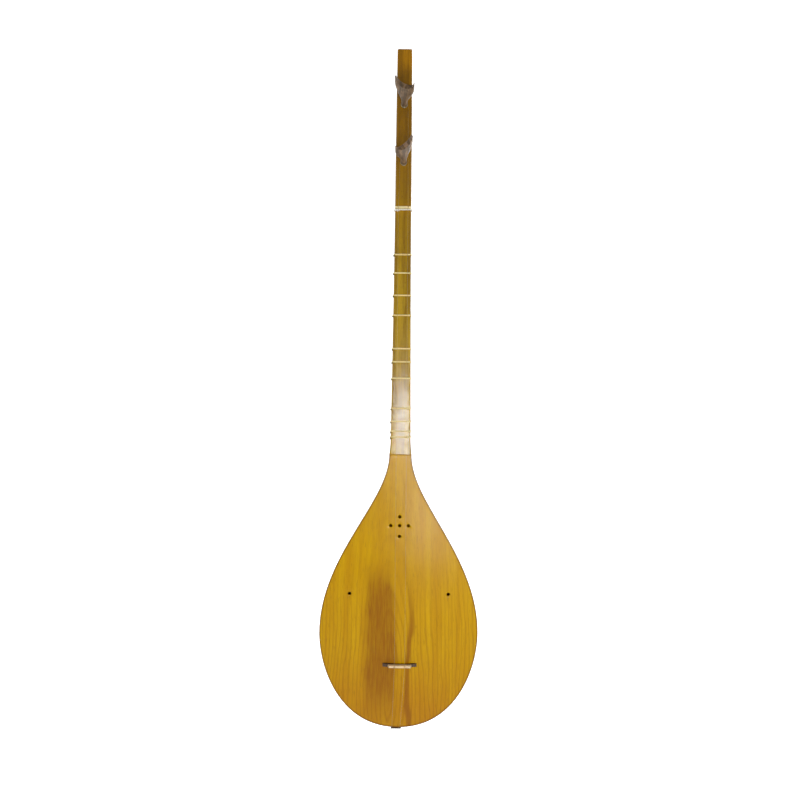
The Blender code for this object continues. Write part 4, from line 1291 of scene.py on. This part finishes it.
def backdrop_material(settings):
    """A pale matt ground that also glows as the camera and the reflections see it."""
    material = bpy.data.materials.new("pale studio")
    material.use_nodes = True
    tree = material.node_tree
    shader = tree.nodes["Principled BSDF"]
    shader.inputs["Base Color"].default_value = (0.8, 0.8, 0.8, 1)
    shader.inputs["Roughness"].default_value = 1.0
    shader.inputs["Specular IOR Level"].default_value = 0.0
    shader.inputs["Emission Color"].default_value = (1, 1, 1, 1)
    path = tree.nodes.new("ShaderNodeLightPath")
    seen = maths(tree, "MAXIMUM", path.outputs["Is Camera Ray"], path.outputs["Is Glossy Ray"])
    seen = maths(tree, "MAXIMUM", seen, path.outputs["Is Transmission Ray"])
    glow = product(tree, seen, settings.backdrop_glow)
    tree.links.new(glow, shader.inputs["Emission Strength"])
    return material


def build_sweep(settings):
    """A floor that bends up into the backdrop."""
    low, back = settings.floor_height, settings.backdrop_distance
    bend_steps = 16
    profile = [Vector((0, SWEEP_FRONT, low)), Vector((0, back - SWEEP_BEND, low))]
    for step in range(1, bend_steps + 1):
        angle = math.pi / 2 * step / bend_steps
        behind = back - SWEEP_BEND + SWEEP_BEND * math.sin(angle)
        profile.append(Vector((0, behind, low + SWEEP_BEND * (1 - math.cos(angle)))))
    profile.append(Vector((0, back, low + SWEEP_RISE)))
    bm = bmesh.new()
    line = [bm.verts.new(point + Vector((-SWEEP_WIDTH / 2, 0, 0))) for point in profile]
    edges = [bm.edges.new(pair) for pair in zip(line, line[1:])]
    swept = bmesh.ops.extrude_edge_only(bm, edges=edges)
    moved = [part for part in swept["geom"] if isinstance(part, bmesh.types.BMVert)]
    bmesh.ops.translate(bm, verts=moved, vec=(SWEEP_WIDTH, 0, 0))
    floor = to_object("studio_sweep", bm)
    floor.data.materials.append(backdrop_material(settings))


def build_lamps(settings):
    """Softboxes all round, and two small panels whose glare lies on neck and board."""
    middle = (0, 0, -0.4)
    for name, place, aim, width, height, power in (
        ("left_softbox", (-1.5, -1.3, 0.1), middle, 1.2, 1.6, 7),
        ("right_softbox", (1.6, -1.2, 0.0), middle, 1.2, 1.6, 8),
        ("front_panel", (0.045, -1.0, -0.45), (0.03, 0, -0.42), 0.1, 0.2, 3.2),
        ("low_panel", (0.2, -1.0, -0.66), (0.05, 0, -0.55), 0.16, 0.2, 3.4),
        ("back_softbox", (0.4, 1.5, 0.5), middle, 1.2, 1.2, 24),
        ("side_softbox", (-1.7, 0.7, 0), middle, 1.2, 1.6, 18),
        ("side_softbox", (1.7, 0.7, 0), middle, 1.2, 1.6, 18),
    ):
        data = bpy.data.lights.new(name, "AREA")
        data.shape = "RECTANGLE"
        data.size, data.size_y = width, height
        data.energy = power * settings.lamp_strength
        lamp = link(name, data)
        lamp.location = place
        lamp.rotation_euler = (Vector(aim) - Vector(place)).to_track_quat("-Z", "Y").to_euler()


def build_camera(settings):
    """The camera at the photo's place, its lens worked out from how much it sees."""
    data = bpy.data.cameras.new("camera")
    data.lens = data.sensor_width / 2 * settings.camera_distance / settings.half_view
    data.clip_start, data.clip_end = 0.01, 50
    camera = link("camera", data)
    camera.location = (settings.camera_x, -settings.camera_distance, settings.camera_height)
    camera.rotation_euler = (math.pi / 2, -settings.camera_roll, 0)
    return camera


def build_stage(settings):
    """A pale floor and backdrop, soft light from all round, lamps and the camera."""
    scene = bpy.context.scene
    build_sweep(settings)
    world = bpy.data.worlds.new("studio")
    scene.world = world
    world.use_nodes = True
    background = world.node_tree.nodes["Background"]
    background.inputs["Color"].default_value = (1, 1, 1, 1)
    background.inputs["Strength"].default_value = settings.world_strength
    build_lamps(settings)
    scene.camera = build_camera(settings)
    scene.view_settings.view_transform = "Standard"


# Add-on classes


def colour_property(name, description, red, green, blue):
    return FloatVectorProperty(
        name=name, description=description, subtype="COLOR", size=3, min=0, max=1,
        default=colour_of(red, green, blue),
    )


def length_property(name, description, default, **limits):
    return FloatProperty(
        name=name, description=description, subtype="DISTANCE", unit="LENGTH", default=default, **limits
    )


class DotarColours(bpy.types.PropertyGroup):
    board: colour_property("Board", "Main colour of the soundboard", 186, 138, 2)
    board_light: colour_property("Board streaks", "Pale streaks of the soundboard", 198, 154, 4)
    board_dark: colour_property("Board heart", "Dark streaks of the soundboard", 136, 80, 1)
    board_low: colour_property("Board foot", "Browner wood near the tail", 176, 116, 2)
    board_deep: colour_property("Board pores", "Darkest varnish, in pores and at the rim", 92, 52, 2)
    bowl: colour_property("Bowl", "Main colour of the carved bowl", 150, 92, 14)
    bowl_light: colour_property("Bowl streaks", "Pale streaks of the bowl", 178, 118, 26)
    bowl_dark: colour_property("Bowl shade", "Dark figure of the bowl", 104, 58, 8)
    neck: colour_property("Neck", "Upper part of the neck", 150, 106, 2)
    neck_low: colour_property("Neck low", "Lower part of the neck", 188, 152, 26)
    neck_tip: colour_property("Neck end", "Freshly cut wood at the head's end", 208, 144, 2)
    neck_dark: colour_property("Neck grain", "Dark streaks of the neck", 100, 66, 1)
    neck_deep: colour_property("Neck pores", "Pores of the neck", 58, 36, 2)
    walnut: colour_property("Walnut", "Main colour of the pegs", 134, 108, 80)
    walnut_dark: colour_property("Walnut grain", "Dark streaks of the pegs", 74, 60, 44)
    walnut_worn: colour_property("Walnut edges", "Rubbed edges of the pegs", 156, 126, 100)
    nut_bone: colour_property("Nut", "Colour of the nut", 232, 214, 158)
    # Saddle colour: pale bone, and a painted highlight of its lit top.
    saddle_bone: colour_property("Saddle", "Colour of the bridge's pale strip", 218, 192, 150)
    # Bridge foot colour: dark wood, and painted shade of its sloping ends.
    bridge_wood: colour_property("Bridge", "Colour of the bridge's foot", 66, 42, 18)
    cord: colour_property("Cord", "Colour of the cord below the nut", 236, 233, 222)
    gut: colour_property("Gut", "Colour of the tied frets", 236, 214, 146)
    # Knot colour: dirt on the knots, darkened further as painted shade.
    gut_knot_dirt_and_shade: colour_property("Gut knots", "Colour of the frets' knots", 92, 84, 50)
    horn: colour_property("Holder", "Colour of the string holder", 62, 42, 18)
    steel: colour_property("Strings", "Colour of the strings", 150, 138, 112)
    cord_pitch: length_property(
        "Cord twist", "Length of one twist of the cord", 2.2 * MM, min=1 * MM, max=10 * MM
    )
    peg_rounding: length_property(
        "Peg rounding", "How far the pegs' edges are rounded", 0.45 * MM, min=0.1 * MM, max=2 * MM
    )


class DotarStudio(bpy.types.PropertyGroup):
    backdrop_glow: FloatProperty(
        name="Backdrop", description="Brightness of the backdrop", default=0.9, min=0
    )
    floor_height: length_property("Floor", "Height of the floor", -1.3)
    backdrop_distance: length_property("Backdrop distance", "How far the backdrop is behind the lute", 2.0)
    world_strength: FloatProperty(name="World", description="Light from all round", default=0.15, min=0)
    lamp_strength: FloatProperty(
        name="Lamps", description="Scale of every lamp's power", default=1.0, min=0
    )
    camera_distance: length_property("Camera distance", "How far the camera is from the face", 0.9)
    half_view: length_property("Half view", "Half the width seen at the face", 0.5427)
    camera_x: length_property("Camera X", "Sideways place of the camera", -0.0014)
    camera_height: length_property("Camera height", "Height of the camera", -0.388)
    camera_roll: FloatProperty(
        name="Camera roll", description="Turn of the picture", subtype="ANGLE", unit="ROTATION",
        default=math.radians(0.65),
    )


class DOTAR_OT_stage(bpy.types.Operator):
    """Adds the floor, the backdrop, the lamps and the camera"""

    bl_idname = "dotar.stage"
    bl_label = "Studio"

    def execute(self, context):
        build_stage(context.scene.dotar_studio)
        return {"FINISHED"}


class DOTAR_OT_bowl(bpy.types.Operator):
    """Builds the carved hollow bowl"""

    bl_idname = "dotar.bowl"
    bl_label = "Bowl"

    def execute(self, context):
        build_bowl(context.scene.dotar_colours)
        return {"FINISHED"}


class DOTAR_OT_soundboard(bpy.types.Operator):
    """Builds the crowned soundboard with its sound holes"""

    bl_idname = "dotar.soundboard"
    bl_label = "Soundboard"

    def execute(self, context):
        build_soundboard(context.scene.dotar_colours)
        return {"FINISHED"}


class DOTAR_OT_neck(bpy.types.Operator):
    """Builds the neck with its peg holes and nut slot"""

    bl_idname = "dotar.neck"
    bl_label = "Neck"

    def execute(self, context):
        build_neck(context.scene.dotar_colours)
        return {"FINISHED"}


class DOTAR_OT_nut(bpy.types.Operator):
    """Builds the nut and the cord tied below it"""

    bl_idname = "dotar.nut"
    bl_label = "Nut and cord"

    def execute(self, context):
        build_nut(context.scene.dotar_colours)
        build_nut_tie(context.scene.dotar_colours)
        return {"FINISHED"}


class DOTAR_OT_frets(bpy.types.Operator):
    """Builds the tied gut frets and their knots"""

    bl_idname = "dotar.frets"
    bl_label = "Frets"

    def execute(self, context):
        build_frets(context.scene.dotar_colours)
        return {"FINISHED"}


class DOTAR_OT_bridge(bpy.types.Operator):
    """Builds the bridge's foot and its saddle strip"""

    bl_idname = "dotar.bridge"
    bl_label = "Bridge"

    def execute(self, context):
        build_bridge(context.scene.dotar_colours)
        return {"FINISHED"}


class DOTAR_OT_string_holder(bpy.types.Operator):
    """Builds the string holder at the tail"""

    bl_idname = "dotar.string_holder"
    bl_label = "String holder"

    def execute(self, context):
        build_string_holder(context.scene.dotar_colours)
        return {"FINISHED"}


class DOTAR_OT_pegs(bpy.types.Operator):
    """Builds the two carved pegs"""

    bl_idname = "dotar.pegs"
    bl_label = "Pegs"

    def execute(self, context):
        build_pegs(context.scene.dotar_colours)
        return {"FINISHED"}


class DOTAR_OT_strings(bpy.types.Operator):
    """Builds the strings and their turns on the pegs"""

    bl_idname = "dotar.strings"
    bl_label = "Strings"

    def execute(self, context):
        build_strings(context.scene.dotar_colours)
        return {"FINISHED"}


OPERATORS = (
    DOTAR_OT_stage, DOTAR_OT_bowl, DOTAR_OT_soundboard, DOTAR_OT_neck, DOTAR_OT_nut, DOTAR_OT_frets,
    DOTAR_OT_bridge, DOTAR_OT_string_holder, DOTAR_OT_pegs, DOTAR_OT_strings,
)


class DOTAR_PT_panel(bpy.types.Panel):
    """Lists the lute's colours and sizes, and what builds each piece"""

    bl_idname = "DOTAR_PT_panel"
    bl_label = "Dotar"
    bl_space_type = "VIEW_3D"
    bl_region_type = "UI"
    bl_category = "Dotar"

    def draw(self, context):
        layout = self.layout
        for group in (context.scene.dotar_colours, context.scene.dotar_studio):
            column = layout.column(align=True)
            for name in type(group).__annotations__:
                column.prop(group, name)
        column = layout.column(align=True)
        for operator in OPERATORS:
            column.operator(operator.bl_idname)


CLASSES = (DotarColours, DotarStudio, *OPERATORS, DOTAR_PT_panel)


def register():
    for cls in CLASSES:
        bpy.utils.register_class(cls)
    bpy.types.Scene.dotar_colours = PointerProperty(type=DotarColours)
    bpy.types.Scene.dotar_studio = PointerProperty(type=DotarStudio)


def unregister():
    del bpy.types.Scene.dotar_studio
    del bpy.types.Scene.dotar_colours
    for cls in reversed(CLASSES):
        bpy.utils.unregister_class(cls)


def main():
    register()
    bpy.ops.dotar.stage()
    bpy.ops.dotar.bowl()
    bpy.ops.dotar.soundboard()
    bpy.ops.dotar.neck()
    bpy.ops.dotar.nut()
    bpy.ops.dotar.frets()
    bpy.ops.dotar.bridge()
    bpy.ops.dotar.string_holder()
    bpy.ops.dotar.pegs()
    bpy.ops.dotar.strings()


if __name__ == "__main__":
    main()
